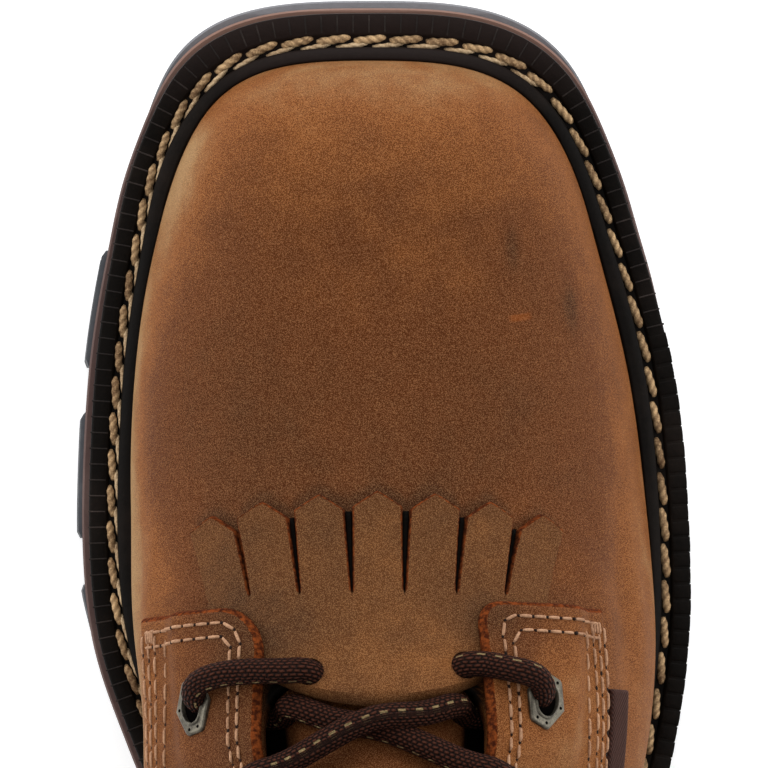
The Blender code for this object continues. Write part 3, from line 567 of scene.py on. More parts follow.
def metalMaterial(name, dark, pale, metallic, shine=0.5):
    shade = Shade(name, {"Metallic": metallic, "Specular IOR Level": shine})
    wear = shade.noise(380, 4, 0.65)
    scratch = shade.noise(2600, 2, 0.6)
    base = shade.blend((wear * 0.8 + scratch * 0.3).ramp(0.35, 0.8), colour(*dark), colour(*pale))
    normal = shade.bump(scratch, 0.2, 0.0001)
    return shade.feed(Base_Color=base, Roughness=0.42 + (wear - 0.5) * 0.5, Normal=normal)


def tapeMaterial():
    shade = Shade("tagTape", {"Specular IOR Level": 0.2})
    weave = (shade.value("run") * 7.5).sine() * (shade.value("turn") * 60).sine() * 0.5 + 0.5
    share = weave * 0.6 + shade.noise(1500, 2) * 0.4
    base = shade.blend(share, colour(44, 27, 23), colour(82, 54, 46))
    normal = shade.bump(weave, 0.6, 0.0003)
    return shade.feed(Base_Color=base, Roughness=0.75 + weave * 0.1, Normal=normal)


laceBraid = laceMaterial()
gunmetal = metalMaterial("gunmetal", (62, 58, 50), (122, 116, 102), 0.8)
eyeletDark = metalMaterial("eyeletDark", (5, 4, 4), (12, 9, 8), 0.0, 0.0)
tagTape = tapeMaterial()
print("materials made")


# Mesh helpers.
def gridFaces(rows, columns, start=0, wrap=False):
    count = columns if wrap else columns - 1
    i, j = np.meshgrid(np.arange(rows - 1), np.arange(count), indexing="ij")
    a, b = start + i * columns + j, start + i * columns + (j + 1) % columns
    return np.stack([a, a + columns, b + columns, b], -1).reshape(-1, 4)


def closedFaces(rows, columns):
    # a tube of rings with both its ends shut
    faces = gridFaces(rows, columns, wrap=True).tolist()
    return faces + [list(range(columns))[::-1], list(range((rows - 1) * columns, rows * columns))]


def linked(name, mesh, material):
    if material:
        mesh.materials.append(material)
    obj = bpy.data.objects.new(name, mesh)
    bpy.context.scene.collection.objects.link(obj)
    return obj


def makeMesh(name, points, faces, material, values=None, sharp=None, weld=0.002):
    mesh = bpy.data.meshes.new(name)
    faces = [[int(corner) for corner in face] for face in faces]
    mesh.from_pydata(np.asarray(points).reshape(-1, 3).tolist(), [], faces)
    for label, numbers in (values or {}).items():
        layer = mesh.attributes.new(label, "FLOAT", "POINT")
        layer.data.foreach_set("value", np.asarray(numbers, np.float32).ravel())
    bm = bmesh.new()
    bm.from_mesh(mesh)
    bmesh.ops.remove_doubles(bm, verts=bm.verts, dist=weld * mm)
    bmesh.ops.dissolve_degenerate(bm, edges=bm.edges, dist=weld * mm)
    bmesh.ops.recalc_face_normals(bm, faces=bm.faces)
    bm.to_mesh(mesh)
    bm.free()
    mesh.shade_smooth()
    if sharp:
        mesh.set_sharp_from_angle(angle=math.radians(sharp))
    return linked(name, mesh, material)


def settled(obj):
    # the object's modifiers turned into a plain mesh
    graph = bpy.context.evaluated_depsgraph_get()
    mesh = bpy.data.meshes.new_from_object(obj.evaluated_get(graph))
    obj.modifiers.clear()
    obj.data = mesh
    return obj


def finishPiece(obj, slot, *nodes):
    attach(obj, "root")
    if nodes:
        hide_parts(*nodes)
    print(obj.name, len(obj.data.polygons), "faces")
    return obj


def pad(at, reach, under, high, values):
    return {"at": at, "reach": reach, "under": under, "top": under + high, "values": values}


def sheetPiece(name, pads, material):
    # closed pads: grids of station, reach, upper and lower lift, and named values
    points, faces, values, start = [], [], {}, 0
    for strip in pads:
        rows, columns = strip["at"].shape
        for lift in ("top", "under"):
            points.append(skin(strip["at"], strip["reach"], strip[lift]).reshape(-1, 3))
            faces.append(gridFaces(rows, columns, start))
            start += rows * columns
            for label, numbers in strip["values"].items():
                values.setdefault(label, []).append(np.broadcast_to(numbers, (rows, columns)).ravel())
    values = {label: np.concatenate(numbers) for label, numbers in values.items()}
    return makeMesh(name, np.concatenate(points), np.concatenate(faces), material, values)


nearSteps = np.array([0, 0.08, 0.2, 0.36, 0.56, 0.8, 1.1, 1.45, 1.9, 2.5, 3.3])


def edgeSteps(long, step):
    # distances across a pad: close together near both borders
    near = nearSteps[-1]
    count = max(int((long - 2 * near) / step), 1)
    middle = np.linspace(near, long - near, count + 1)[1:-1]
    return np.concatenate([nearSteps, middle, (long - nearSteps)[::-1]])


def fromEnds(steps):
    return np.minimum(steps, steps[-1] - steps)


def padTop(depth, thick, bend):
    share = np.clip(depth / bend, 0, 1)
    return thick * np.sqrt(1 - (1 - share) ** 2)


# Tones of the hide, its own mottling and painted light and shade: station, reach, half length, half width,
# amount.
toneAndLightSpots = [
    (14, 0, 14, 44, 0.24), (36, -44, 18, 12, 0.2), (44, 46, 22, 11, 0.12), (80, -46, 34, 12, -0.12),
    (108, -58, 26, 10, 0.12), (84, 56, 40, 9, 0.08), (112, 60, 24, 9, 0.1), (34, -20, 20, 22, 0.16),
    (48, -34, 20, 12, 0.16), (94, 2, 28, 42, -0.4), (46.5, 26.5, 5, 1.9, -0.8),
    (57, 41, 4.5, 2.2, -0.8), (52, 34, 10, 10, -0.1), (110, -27, 12, 5, -0.5),
    (72, 30, 20, 16, -0.14), (92, 42, 16, 10, -0.12), (150, 34, 40, 14, 0.5), (121, 0, 8, 24, 0.2),
    (122, 14, 6, 6, 0.9), (123, -11, 6, 6, 0.9), (200, 80, 40, 40, 0.1), (240, -80, 40, 40, -0.06),
    (222, 105, 12, 20, 0.15), (222, -105, 12, 20, 0.15), (30, 15, 14, 20, 0.24),
    (66, -30, 28, 14, -0.26), (119, -16, 8, 10, -1.0), (116, 20, 8, 7, -0.9), (104, -44, 14, 8, 0.2),
    (104, 2, 10, 6, 0.5), (101, 25, 8, 12, 0.5), (126, 2, 8, 12, 0.4), (136, -25, 18, 7, -0.6),
    (128, 47, 14, 13, 0.35), (76, -18, 12, 16, -0.24), (44, 30, 12, 10, -0.14),
    (56, 40, 11, 10, -0.16), (64, -36, 12, 9, -0.1), (26, 30, 12, 12, 0.16),
]
# The paler rim of the foot and toe, part the leather's own paling, part painted sheen and light: how far up
# it goes, where along the boot, and how strong on each side.
rim = {
    "near": 12, "far": 38, "wider": (12, 84, 108), "startAt": (14, 30), "footFade": (0, 8),
    "endAt": {inner: (122, 166), outer: (150, 190)}, "base": {inner: 0.9, outer: 0.34},
    "more": {inner: [(0.42, 46, 76)], outer: [(0.2, 64, 90), (0.2, 92, 114)]},
    "toe": 0.5, "toeAt": (11, 26), "share": 0.95,
}


def toneAndLightOf(at, reach):
    inside = reach < 0
    fromFoot = np.where(inside, ribLength(at, inner), ribLength(at, outer)) - np.abs(reach)
    pale = fall(rim["near"], rim["far"] + stepped([rim["wider"]], at), fromFoot)
    pale = pale * ease(*rim["startAt"], at) * (0.5 + 0.5 * ease(*rim["footFade"], fromFoot))
    amounts = [(rim["base"][side] + stepped(rim["more"][side], at)) * fall(*rim["endAt"][side], at)
               for side in bothSides]
    pale = np.maximum(pale * np.where(inside, *amounts), rim["toe"] * fall(*rim["toeAt"], at))
    return mounds(toneAndLightSpots, at, reach) + rim["share"] * pale


# Throat and stays.
throat = {"at": 121, "round": 14}
stay = {
    "halfLow": {inner: 19.0, outer: 17.2}, "halfTop": 25, "open": 0.6, "step": 1.5, "settle": 18,
    "frontAt": {inner: 112.8, outer: 112.1}, "corner": {inner: 8.6, outer: 4.6},
    "wide": {inner: 33, outer: 31}, "thick": 2.0, "round": 1.5, "seat": 0.12, "sewn": 0.06,
    "overAt": (136, 146), "overReach": (37, 43), "overGap": 0.3,
    # rows of stitches: in from the front and the inner edge, and in from the outer edge
    "rows": [(2.9, 3.7), (5.3, 5.5)], "pitch": 3.1, "stitch": (2.75, 0.58, 0.58),
    "outerRows": (1.2, 2.8, 4.5, 7.1), "outerPitch": 4.0, "outerLong": 3.5, "bend": 3.2,
    "tacks": 4, "tackAt": (2.6, 5.9), "tackIn": 2.4, "tackStep": 0.75, "collarRows": (4.0, 7.0),
    # how much narrower the front is, how much wider the leg, and how far the rows spread at the front
    "draw": {inner: 0.4, outer: 1.6}, "drift": {inner: 1.6, outer: 6.0}, "driftOver": 52,
    "fan": {inner: 1.45, outer: 1.0}, "fanOver": 40,
    # where the edges are raw: in from the border, from the inner edge and from the front
    "rawDeep": (0.6, 1.4), "rawIn": (8, 12), "rawFront": (3, 5),
    # how far seams keep from the outer edge, the collar, the front and the stay
    "rowShort": 2.5, "rowTop": 4, "seamTop": 5, "seamFrom": 3, "collarFrom": 3, "tackPitch": 2.2,
    "hole": (0.75, 0.6, 0.6), "holeAhead": 0.12,
}
kiltieThick = 1.8


def stayHalf(at, side):
    frontAt, low = stay["frontAt"][side], stay["halfLow"][side]
    share = np.clip((at - frontAt) / (last["collarAt"] - frontAt), 0, 1)
    return low + (stay["halfTop"] - low) * share ** stay["open"]


def stayWide(at, side):
    wider = stay["drift"][side] * ease(0, stay["driftOver"], at - stay["frontAt"][side])
    return stay["wide"][side] - stay["draw"][side] + wider


def throatHalf(at, side):
    depth = np.clip((at - throat["at"]) / throat["round"], 0, 1)
    return stayHalf(at, side) * np.sqrt(1 - (1 - depth) ** 2)


def stayLift(at, reach):
    over = fall(*stay["overAt"], at) * fall(*stay["overReach"], np.abs(reach))
    return stay["seat"] + (kiltieThick + stay["overGap"]) * over


def stayTop(at, reach):
    return stayLift(at, reach) + stay["thick"]


# Kiltie: seven pointed fingers over the vamp, laced down through two holes.
kiltie = {
    "fingers": 7, "tipAt": 92, "tipBend": 0.44, "point": 3.0, "pointPower": 1.1, "shift": 0.45,
    "tipPitch": 10.3, "rootPitch": 9.2, "slits": [0.0, 0.1, 0.85, 1.3, 1.25, 1.0, 0.75, 0.0],
    "shut": 1, "rootAt": 111.5, "backAt": 130.6, "backHalf": 30, "backBend": 12, "seat": 0.12,
    "round": 0.45, "curl": 0.5, "across": 22, "fingerRows": 18, "baseRows": 14, "slitRows": 20,
    "holeAt": {inner: 124.6, outer: 123.4}, "holeReach": {inner: 11.8, outer: 15.6}, "holeWide": 5.2,
    "holeSides": 28, "holeDeep": 12, "tipShadowDark": 0.7, "tipShadowAhead": 0.4, "tipShadowWide": 1.6,
    # how dark the borders are painted (painted shade under the laces and on the slit walls) and how raw,
    # each with the distances over which it fades
    "backDark": 0.6, "backFade": (0.3, 1.6), "sideDark": 0.8, "sideFade": (0.06, 0.26),
    "raw": 0.86, "rawFade": (0.2, 0.9), "toneShare": 0.6, "toneChange": 0.05, "curlTo": 0.45,
    # the slits' floors, dark sheets of painted shade: how much wider, height above the seat, thickness,
    # round
    "slitMore": 0.25, "slitUp": 0.15, "slitHigh": 0.75, "slitRound": 0.3, "shutDark": 0.35,
}


def fingerPitch(share):
    return kiltie["tipPitch"] + (kiltie["rootPitch"] - kiltie["tipPitch"]) * share


def tipShadow(at, reach):
    # painted shadow in front of the kiltie's tips, on the vamp
    k = kiltie
    out = np.round((reach - k["shift"]) / k["tipPitch"])
    across = np.abs(reach - k["shift"] - out * k["tipPitch"]) / (k["tipPitch"] / 2)
    tip = k["tipAt"] + k["tipBend"] * out ** 2 + k["point"] * across ** k["pointPower"]
    near = np.exp(-((tip - k["tipShadowAhead"] - at) / k["tipShadowWide"]) ** 2)
    return near * (np.abs(out) <= (k["fingers"] - 1) / 2)


# Upper: one hollow wall, fine enough for the creases.
upper = {
    "step": 1.25, "columns": 74, "footKeep": 1.2, "keepFrom": (10, 14), "keepTo": (214, 222),
    "underStay": 2.0, "underOver": 8, "shadeWide": 2, "shadeFrom": (117, 121), "shadeTo": (150, 175),
}


def makeUpper():
    rows = int((last["collarAt"] - last["toeTo"]) / upper["step"])
    ats = np.linspace(last["toeTo"], last["collarAt"], rows)
    ats = np.concatenate([leatherAts[:last["toeRows"]], ats])
    at = ats[:, None]
    points, faces, tones, shades, start = [], [], [], [], 0
    for side in bothSides:
        tuck = upper["underStay"] * ease(throat["at"], throat["at"] + upper["underOver"], ats)
        ridge = throatHalf(ats, side) + tuck
        keep = upper["footKeep"] * ease(*upper["keepFrom"], ats) * fall(*upper["keepTo"], ats)
        foot = np.maximum(ribLength(ats, side) - keep, ridge)
        share = np.linspace(0, 1, upper["columns"] + 1)[None, :]
        reach = ridge[:, None] + (foot - ridge)[:, None] * share
        points.append(skin(at, side * reach).reshape(-1, 3))
        # the vamp is darkened in front of the kiltie's tips: painted shadow
        tone = toneAndLightOf(at, side * reach) - kiltie["tipShadowDark"] * tipShadow(at, side * reach)
        tones.append(tone.ravel())
        # painted shade on the vamp beside the stays' inner edges, in the throat
        inside = fall(0, upper["shadeWide"], reach - stayHalf(at, side))
        shades.append((inside * ease(*upper["shadeFrom"], at) * fall(*upper["shadeTo"], at)).ravel())
        grid = gridFaces(len(ats), upper["columns"] + 1, start)
        faces.append(grid if side == outer else grid[:, ::-1])
        start += reach.size
    values = {"tone": np.concatenate(tones), "paintedShade": np.concatenate(shades)}
    points, faces = np.concatenate(points), np.concatenate(faces)
    obj = makeMesh("bootUpper", points, faces, leather, values, weld=0.004)
    shell = BVHTree.FromObject(obj, bpy.context.evaluated_depsgraph_get())
    obj.data.materials.append(lining)
    solid = obj.modifiers.new("wall", "SOLIDIFY")
    solid.thickness = last["wall"] * mm
    solid.offset = -1
    solid.material_offset = 1
    solid.material_offset_rim = 0
    finishPiece(settled(obj), "leather", "upper")
    return shell


upperShell = makeUpper()


# Geometry Nodes: one tree sets copies of a unit shape on points that carry a facing and a heading.
def copiesTree():
    tree = bpy.data.node_groups.new("setCopies", "GeometryNodeTree")
    kinds = {"Points": "Geometry", "Unit": "Object", "Length": "Float", "Width": "Float",
             "Height": "Float", "Jitter": "Float", "Seed": "Int", "Finish": "Material"}
    names = {}
    for name, kind in kinds.items():
        socket = tree.interface.new_socket(name, in_out="INPUT", socket_type="NodeSocket" + kind)
        names[name] = socket.identifier
    tree.interface.new_socket("Copies", in_out="OUTPUT", socket_type="NodeSocketGeometry")
    link = tree.links.new

    def add(kind, **settings):
        node = tree.nodes.new(kind)
        for key, value in settings.items():
            setattr(node, key, value)
        return node

    given = add("NodeGroupInput").outputs
    turn = add("FunctionNodeAxesToRotation", primary_axis="Z", secondary_axis="X")
    for i, name in enumerate(("facing", "heading")):
        read = add("GeometryNodeInputNamedAttribute", data_type="FLOAT_VECTOR")
        read.inputs["Name"].default_value = name
        link(read.outputs[0], turn.inputs[i])
    change = add("FunctionNodeRandomValue", data_type="FLOAT")
    for i, operation in ((2, "SUBTRACT"), (3, "ADD")):
        limit = add("ShaderNodeMath", operation=operation)
        limit.inputs[0].default_value = 1.0
        link(given["Jitter"], limit.inputs[1])
        link(limit.outputs[0], change.inputs[i])
    link(given["Seed"], change.inputs["Seed"])
    sizes = add("ShaderNodeCombineXYZ")
    for i, name in enumerate(("Length", "Width", "Height")):
        scaled = add("ShaderNodeMath", operation="MULTIPLY")
        link(given[name], scaled.inputs[0])
        link(change.outputs[1], scaled.inputs[1])
        link(scaled.outputs[0], sizes.inputs[i])
    unit, copies = add("GeometryNodeObjectInfo"), add("GeometryNodeInstanceOnPoints")
    link(given["Unit"], unit.inputs[0])
    link(given["Points"], copies.inputs["Points"])
    link(unit.outputs["Geometry"], copies.inputs["Instance"])
    link(turn.outputs[0], copies.inputs["Rotation"])
    link(sizes.outputs[0], copies.inputs["Scale"])
    real, finish = add("GeometryNodeRealizeInstances"), add("GeometryNodeSetMaterial")
    link(copies.outputs[0], real.inputs[0])
    link(real.outputs[0], finish.inputs[0])
    link(given["Finish"], finish.inputs["Material"])
    link(finish.outputs[0], add("NodeGroupOutput").inputs[0])
    return tree, names


copyTree, copySockets = copiesTree()


def setCopies(name, unit, spots, sizes, material, jitter=0.0, seed=1, sharp=None):
    # spots: points, facings and headings; sizes in millimetres
    points, facings, headings = (np.asarray(values, float).reshape(-1, 3) for values in spots)
    mesh = bpy.data.meshes.new(name)
    mesh.from_pydata(points.tolist(), [], [])
    for label, vectors in (("facing", facings), ("heading", headings)):
        layer = mesh.attributes.new(label, "FLOAT_VECTOR", "POINT")
        layer.data.foreach_set("vector", vectors.astype(np.float32).ravel())
    obj = linked(name, mesh, None)
    modifier = obj.modifiers.new("copies", "NODES")
    modifier.node_group = copyTree
    long, wide, high = [size * mm for size in sizes]
    given = {"Unit": unit, "Length": long, "Width": wide, "Height": high,
             "Jitter": jitter, "Seed": seed, "Finish": material}
    for label, value in given.items():
        modifier[copySockets[label]] = value
    settled(obj)
    obj.data.shade_smooth()
    if sharp:
        obj.data.set_sharp_from_angle(angle=math.radians(sharp))
    return obj


def alongPath(points, facings, pitch, start=0.5, near=0.4):
    # even spots along a path, with headings read from near each side of them
    run = runAlong(points) / mm
    count = int((run[-1] - start * pitch) / pitch + 0.5)
    where = (np.arange(count) + start) * pitch
    heading = readAt(points, run, where + near) - readAt(points, run, where - near)
    return readAt(points, run, where), readAt(facings, run, where), heading


def stitchUnit(name, plies, twist, around=8, along=9, taper=6):
    # a thread lying over its two holes, its ends sunk
    points, ply = [], []
    for i in range(along + 1):
        share = 2 * i / along - 1
        rise = 0.34 - 0.75 * abs(share) ** 5
        body = 0.5 * math.sqrt(max(1 - abs(share) ** taper, 0.02))
        for j in range(around):
            angle = 2 * math.pi * j / around
            ply.append(math.cos(2 * (angle - twist * share)))
            size = body * (1 + plies * ply[-1])
            points.append((share / 2, math.cos(angle) * size, rise + math.sin(angle) * size))
    return makeMesh(name, points, closedFaces(along + 1, around), seamThread, {"ply": ply}, weld=1e-4)


threadUnit = stitchUnit("threadUnit", 0.06, 3.0)
ropeUnit = stitchUnit("ropeUnit", 0.1, 6.0, 10, 26, 5)


def hullUnit(name, clouds, material):
    bm = bmesh.new()
    for cloud in clouds:
        verts = [bm.verts.new(spot) for spot in cloud]
        bmesh.ops.convex_hull(bm, input=verts, use_existing_faces=False)
    loose = [vert for vert in bm.verts if not vert.link_faces]
    bmesh.ops.delete(bm, geom=loose, context="VERTS")
    mesh = bpy.data.meshes.new(name)
    bm.to_mesh(mesh)
    bm.free()
    return linked(name, mesh, material)


# Welt: ribbed flange, stitch groove, smooth lip up to the leather.
welt = {
    "around": 1100, "middle": 4.0, "thick": 3.6, "gap": 0.06, "lipSeek": 6.9, "seekUp": 6.0,
    "lipFar": 5.0, "lipNear": 1.3, "lipStart": 0.5, "lipPasses": 12,
    # inset from the outline and height above the feather line
    "flange": [
        (8.4, 0.0), (1.25, 0.0), (1.0, 0.3), (1.0, 3.0), (1.12, 3.4), (1.5, 3.6), (4.2, 3.6),
        (4.45, 3.45), (4.6, 2.9), (4.75, 2.6), (6.5, 2.6), (6.75, 2.75), (6.9, 3.6), (6.98, 4.9),
        (7.1, 5.6), (7.4, 5.95),
    ],
    # share of the way in to the leather, height
    "lip": [(0.35, 6.2), (0.7, 6.42), (0.92, 6.4), (1.0, 6.2), (1.0, 0.0)],
    # down the sides the lip leans out over the inner row, and the toe's edge stands out
    "lipOver": {inner: 0.55, outer: 0.4}, "lipOverFrom": (8, 24), "lipOverTo": (170, 230),
    "lipOverUp": 4.0, "edgeTo": 2, "toeOut": 0.55, "toeOutFade": (-4, 27),
    # ribs: width, length, height
    "ribPitch": 3.0, "ribInset": 2.6, "ribSunk": 0.1, "proudFrom": 62,
    "flatRib": (0.34, 3.2, 0.2), "proudRib": (2.86, 3.2, 0.24),
    # rows of stitches: inset, height, whether half a step on, sizes
    "rowOut": (5.2, 2.6, False, (6.6, 1.5, 1.6)), "rowIn": (6.4, 2.9, True, (6.3, 1.0, 1.2)),
    "stitchPitch": 6.9, "lean": 0.13, "outerRowIn": 0.5, "rowInHidden": (15, 235),
}


def lipReach(turns):
    # distance from the lip's foot in to the leather, evened round the boot, and the way in
    foot = soleSpot(turns, welt["lipSeek"], 0)
    tangent = np.roll(foot, -1, axis=0) - np.roll(foot, 1, axis=0)
    inward = unitRows(np.cross((0, 0, 1.0), tangent))
    start = soleSpot(turns, welt["lipSeek"], sole["featherUp"] + welt["seekUp"])
    found = np.full(len(turns), np.nan)
    for i, (spot, way) in enumerate(zip(start, inward)):
        hit = upperShell.ray_cast(Vector(spot), Vector(way), welt["lipFar"] * mm)
        if hit[0] is not None:
            found[i] = hit[3] / mm
    good = ~np.isnan(found)
    print("lip meets leather at", int(good.sum()), "of", len(turns))
    found = np.interp(np.arange(len(turns)), np.flatnonzero(good), found[good])
    for _ in range(welt["lipPasses"]):
        found = (np.roll(found, 1) + 2 * found + np.roll(found, -1)) / 4
    return np.clip(found, welt["lipNear"], welt["lipFar"]), inward


def makeWelt():
    turns = evenTurns(welt["around"], welt["middle"])
    reach, inward = lipReach(turns)
    back = edge(turns, welt["middle"])[1]
    lean = np.where(turns > 1, welt["lipOver"][outer], welt["lipOver"][inner])
    lean = lean * ease(*welt["lipOverFrom"], back) * fall(*welt["lipOverTo"], back)
    toeOut = welt["toeOut"] * fall(*welt["toeOutFade"], back)
    rings = []
    for inset, up in welt["flange"]:
        out = toeOut if inset < welt["edgeTo"] else lean if up > welt["lipOverUp"] else 0
        rings.append(soleSpot(turns, inset - out, sole["featherUp"] + up))
    foot = soleSpot(turns, welt["lipSeek"], sole["featherUp"])
    for share, up in welt["lip"]:
        into = welt["lipStart"] + (reach - welt["lipStart"] - welt["gap"]) * share
        ring = foot + inward * (into * mm)[:, None]
        ring[:, 2] = foot[:, 2] + up * mm
        rings.append(ring)
    count = len(turns)
    here = np.arange(count)
    after, top = (here + 1) % count, (len(rings) - 1) * count
    closing = np.stack([here, after, after + top, here + top], -1)
    faces = np.concatenate([gridFaces(len(rings), count, wrap=True), closing])
    obj = makeMesh("bootWelt", np.stack(rings), faces, rubbers["weltRubber"], sharp=50)
    finishPiece(obj, "welt_rubber", "welt")


def ribUnit():
    # a rounded bar over the flange and its turned-down end, in shares of a rib's sizes
    arch = [(0.14, 0.98), (0.34, 0.78), (0.46, 0.35), (0.5, -0.4)]
    arch = [(-x, z) for x, z in arch[::-1]] + arch
    top = [(x, y, z) for x, z in arch for y in (-0.47, 0.42)]
    top += [(x * 0.9, 0.5, z * 0.5) for x, z in arch]
    top += [(x, -0.53, z - 0.35) for x, z in arch]
    side = [(x, y, z) for x, _ in arch for y, z in ((-0.44, 0.5), (-0.44, -5.0))]
    side += [(x * 0.94, -0.5 - 0.04 * (1 - (2 * abs(x)) ** 3), z) for x, _ in arch for z in (0.2, -4.8)]
    return hullUnit("ribUnit", [top, side], rubbers["weltRubber"])


def roundSole(pitch, inset, up, late=False, outerIn=0.0, pitchInset=None):
    # spots round the sole; a row on the outer side may lie closer to the lip
    count = round(roundRun(pitchInset or inset)[-1] / mm / pitch)
    turns = evenTurns(2 * count, inset)[int(late)::2]
    closer = outerIn * np.where(turns > 1, ease(*welt["lipOverFrom"], edge(turns, inset)[1]), 0)
    points = soleSpot(turns, inset + closer, sole["featherUp"] + up)
    heading = np.roll(points, -1, axis=0) - np.roll(points, 1, axis=0)
    across = soleSpot(turns, inset + 1, 0) - soleSpot(turns, inset - 1, 0)
    return points, unitRows(np.cross(heading, across)), heading


def makeWeltTrim():
    unit = ribUnit()
    spots = roundSole(welt["ribPitch"], welt["ribInset"], welt["thick"] - welt["ribSunk"])
    x, y = spots[0][:, 0], spots[0][:, 1]
    # the ribs stand out along the outer side; elsewhere they lie nearly flush and take a paler rubber, a
    # painted highlight with dust
    proud = (x > 0) & (y < place(0, welt["proudFrom"], 0)[1])
    for name, mine, key, finish in (("weltRibs", ~proud, "flatRib", "weltRibDustAndHighlight"),
                                    ("weltRibsOuter", proud, "proudRib", "weltRubber")):
        kept = [values[mine] for values in spots]
        ribs = setCopies(name, unit, kept, welt[key], rubbers[finish], jitter=0.04, seed=3, sharp=55)
        finishPiece(ribs, "welt_rubber")
    bpy.data.objects.remove(unit)
    for name, key, seed, thread in (("weltStitches", "rowOut", 5, weltThread),
                                    ("weltStitchesInner", "rowIn", 7, weltThreadInner)):
        inset, up, late, sizes = welt[key]
        points, facing, heading = roundSole(welt["stitchPitch"], inset, up, late, welt["outerRowIn"],
                                            welt["rowOut"][0])
        heading = heading + welt["lean"] * np.cross(facing, heading)
        shown = np.ones(len(points), bool)
        if late:
            # along the outer side the lip hides the inner row
            front, rear = [place(0, back, 0)[1] for back in welt["rowInHidden"]]
            shown = (points[:, 0] < 0) | (points[:, 1] > front) | (points[:, 1] < rear)
        kept = [values[shown] for values in (points, facing, heading)]
        stitches = setCopies(name, ropeUnit, kept, sizes, thread, jitter=0.06, seed=seed)
        finishPiece(stitches, "welt_rubber")


makeWelt()
makeWeltTrim()


# Tongue: dips where the laces pass under the stays and under the kiltie.
tongue = {
    "fromAt": 112, "toAt": 324, "half": 35, "thick": 2.4, "clear": 0.9, "taper": 7, "taperAt": 306,
    "round": 1.2, "step": 1.8, "dip": 4.4, "dipReach": (13, 24), "dipFrom": (126, 132),
    "dipTo": (300, 308), "holeDip": 2.6, "holeFrom": (114, 121), "holeTo": (128, 136),
    "holeReach": (12, 20), "darkIn": (1.6, 0.2), "darkTo": (150, 175), "rawTo": (0.3, 1.0),
}


def tongueTop(at, reach):
    t, off = tongue, np.abs(reach)
    dip = t["dip"] * ease(*t["dipReach"], off) * ease(*t["dipFrom"], at) * fall(*t["dipTo"], at)
    holes = ease(*t["holeFrom"], at) * fall(*t["holeTo"], at) * fall(*t["holeReach"], off)
    return -last["wall"] - t["clear"] - dip - t["holeDip"] * holes


def makeTongue():
    t = tongue
    along, across = edgeSteps(t["toAt"] - t["fromAt"], t["step"]), edgeSteps(2 * t["half"], t["step"])
    at = (t["fromAt"] + along)[:, None]
    reach = (across[None, :] / t["half"] - 1) * (t["half"] - t["taper"] * ease(t["taperAt"], t["toAt"], at))
    at = at + 0 * reach
    depth = np.minimum(fromEnds(across)[None, :], fromEnds(along)[:, None])
    swell = padTop(depth, t["thick"] / 2, t["round"])
    half = np.where(reach < 0, stayHalf(at, inner), stayHalf(at, outer))
    # painted shade along the tongue beside the stays' inner edges
    dark = ease(half - t["darkIn"][0], half - t["darkIn"][1], np.abs(reach)) * fall(*t["darkTo"], at)
    values = {"tone": toneAndLightOf(at, reach) - 0.1, "raw": fall(*t["rawTo"], depth), "paintedShade": dark}
    under = tongueTop(at, reach) - t["thick"] / 2 - swell
    piece = sheetPiece("bootTongue", [pad(at, reach, under, 2 * swell, values)], leather)
    finishPiece(piece, "leather", "tongue")


makeTongue()


def kiltieStrip(number):
    # one finger and the part of the flap behind it
    k = kiltie
    out = number - (k["fingers"] - 1) / 2
    u = np.sin(np.linspace(-0.5, 0.5, k["across"] + 1) * np.pi)[None, :]
    apex = k["tipAt"] + k["tipBend"] * out * out
    down = np.linspace(nearSteps[-1], k["rootAt"] - apex, k["fingerRows"])[1:]
    down = np.concatenate([nearSteps, down])
    share = (down / down[-1])[:, None]
    slits = np.where(u < 0, k["slits"][number], k["slits"][number + 1])
    half = fingerPitch(share) / 2 - slits / 2 * (1 - share)
    tip = apex + k["point"] * np.abs(u) ** k["pointPower"]
    fingerAt = tip + (k["rootAt"] - tip) * share
    fingerReach = out * fingerPitch(share) + half * u + k["shift"]
    base = np.linspace(0, 1, k["baseRows"])[1:, None]
    rootHalf = k["fingers"] * k["rootPitch"] / 2
    spread = (out + u / 2) / (k["fingers"] / 2)
    baseLong = k["backAt"] - k["backBend"] * spread ** 2 - k["rootAt"]
    baseAt = k["rootAt"] + baseLong * base
    baseReach = (rootHalf + (k["backHalf"] - rootHalf) * base) * spread + k["shift"]
    at, reach = np.concatenate([fingerAt, baseAt]), np.concatenate([fingerReach, baseReach])
    # distance in from the raw borders
    slope = 1 / math.hypot(1, k["pointPower"] * k["point"] / (k["tipPitch"] / 2))
    fromSide = half * (1 - np.abs(u)) + 3 * ease(0.9, 1.0, share)
    fromTip = (fingerAt - tip) * slope
    fromBack = (1 - base) * baseLong
    # painted shadow along the back edge, where the laces cross over it
    shadow = k["backDark"] * fall(*k["backFade"], fromBack)
    if abs(out) == (k["fingers"] - 1) / 2:
        outside = 1 - u * np.sign(out)
        fromBack = np.minimum(fromBack, outside * k["rootPitch"] / 2)
        fromSide = np.minimum(fromSide, half * outside)
    depth = np.concatenate([np.minimum(fromSide, fromTip), fromBack])
    curl = fall(0, k["curlTo"], share) * k["curl"] * (0.5 + 0.5 * math.sin(2.3 * number)) + 0 * u
    # painted shade on the fingers' walls inside the slits
    dark = k["sideDark"] * fall(*k["sideFade"], fromSide) * ease(0.02, 0.12, share)
    raw = k["raw"] * fall(*k["rawFade"], np.minimum(fromTip, fromSide + 0.1))
    tone = toneAndLightOf(at, reach) * k["toneShare"] + k["toneChange"] * math.sin(3.1 * number)
    values = {"tone": tone, "raw": np.concatenate([raw, 0 * baseAt]),
              "paintedShade": np.concatenate([dark, shadow])}
    under = k["seat"] + np.concatenate([curl, 0 * baseAt])
    return pad(at, reach, under, padTop(depth, kiltieThick, k["round"]), values)


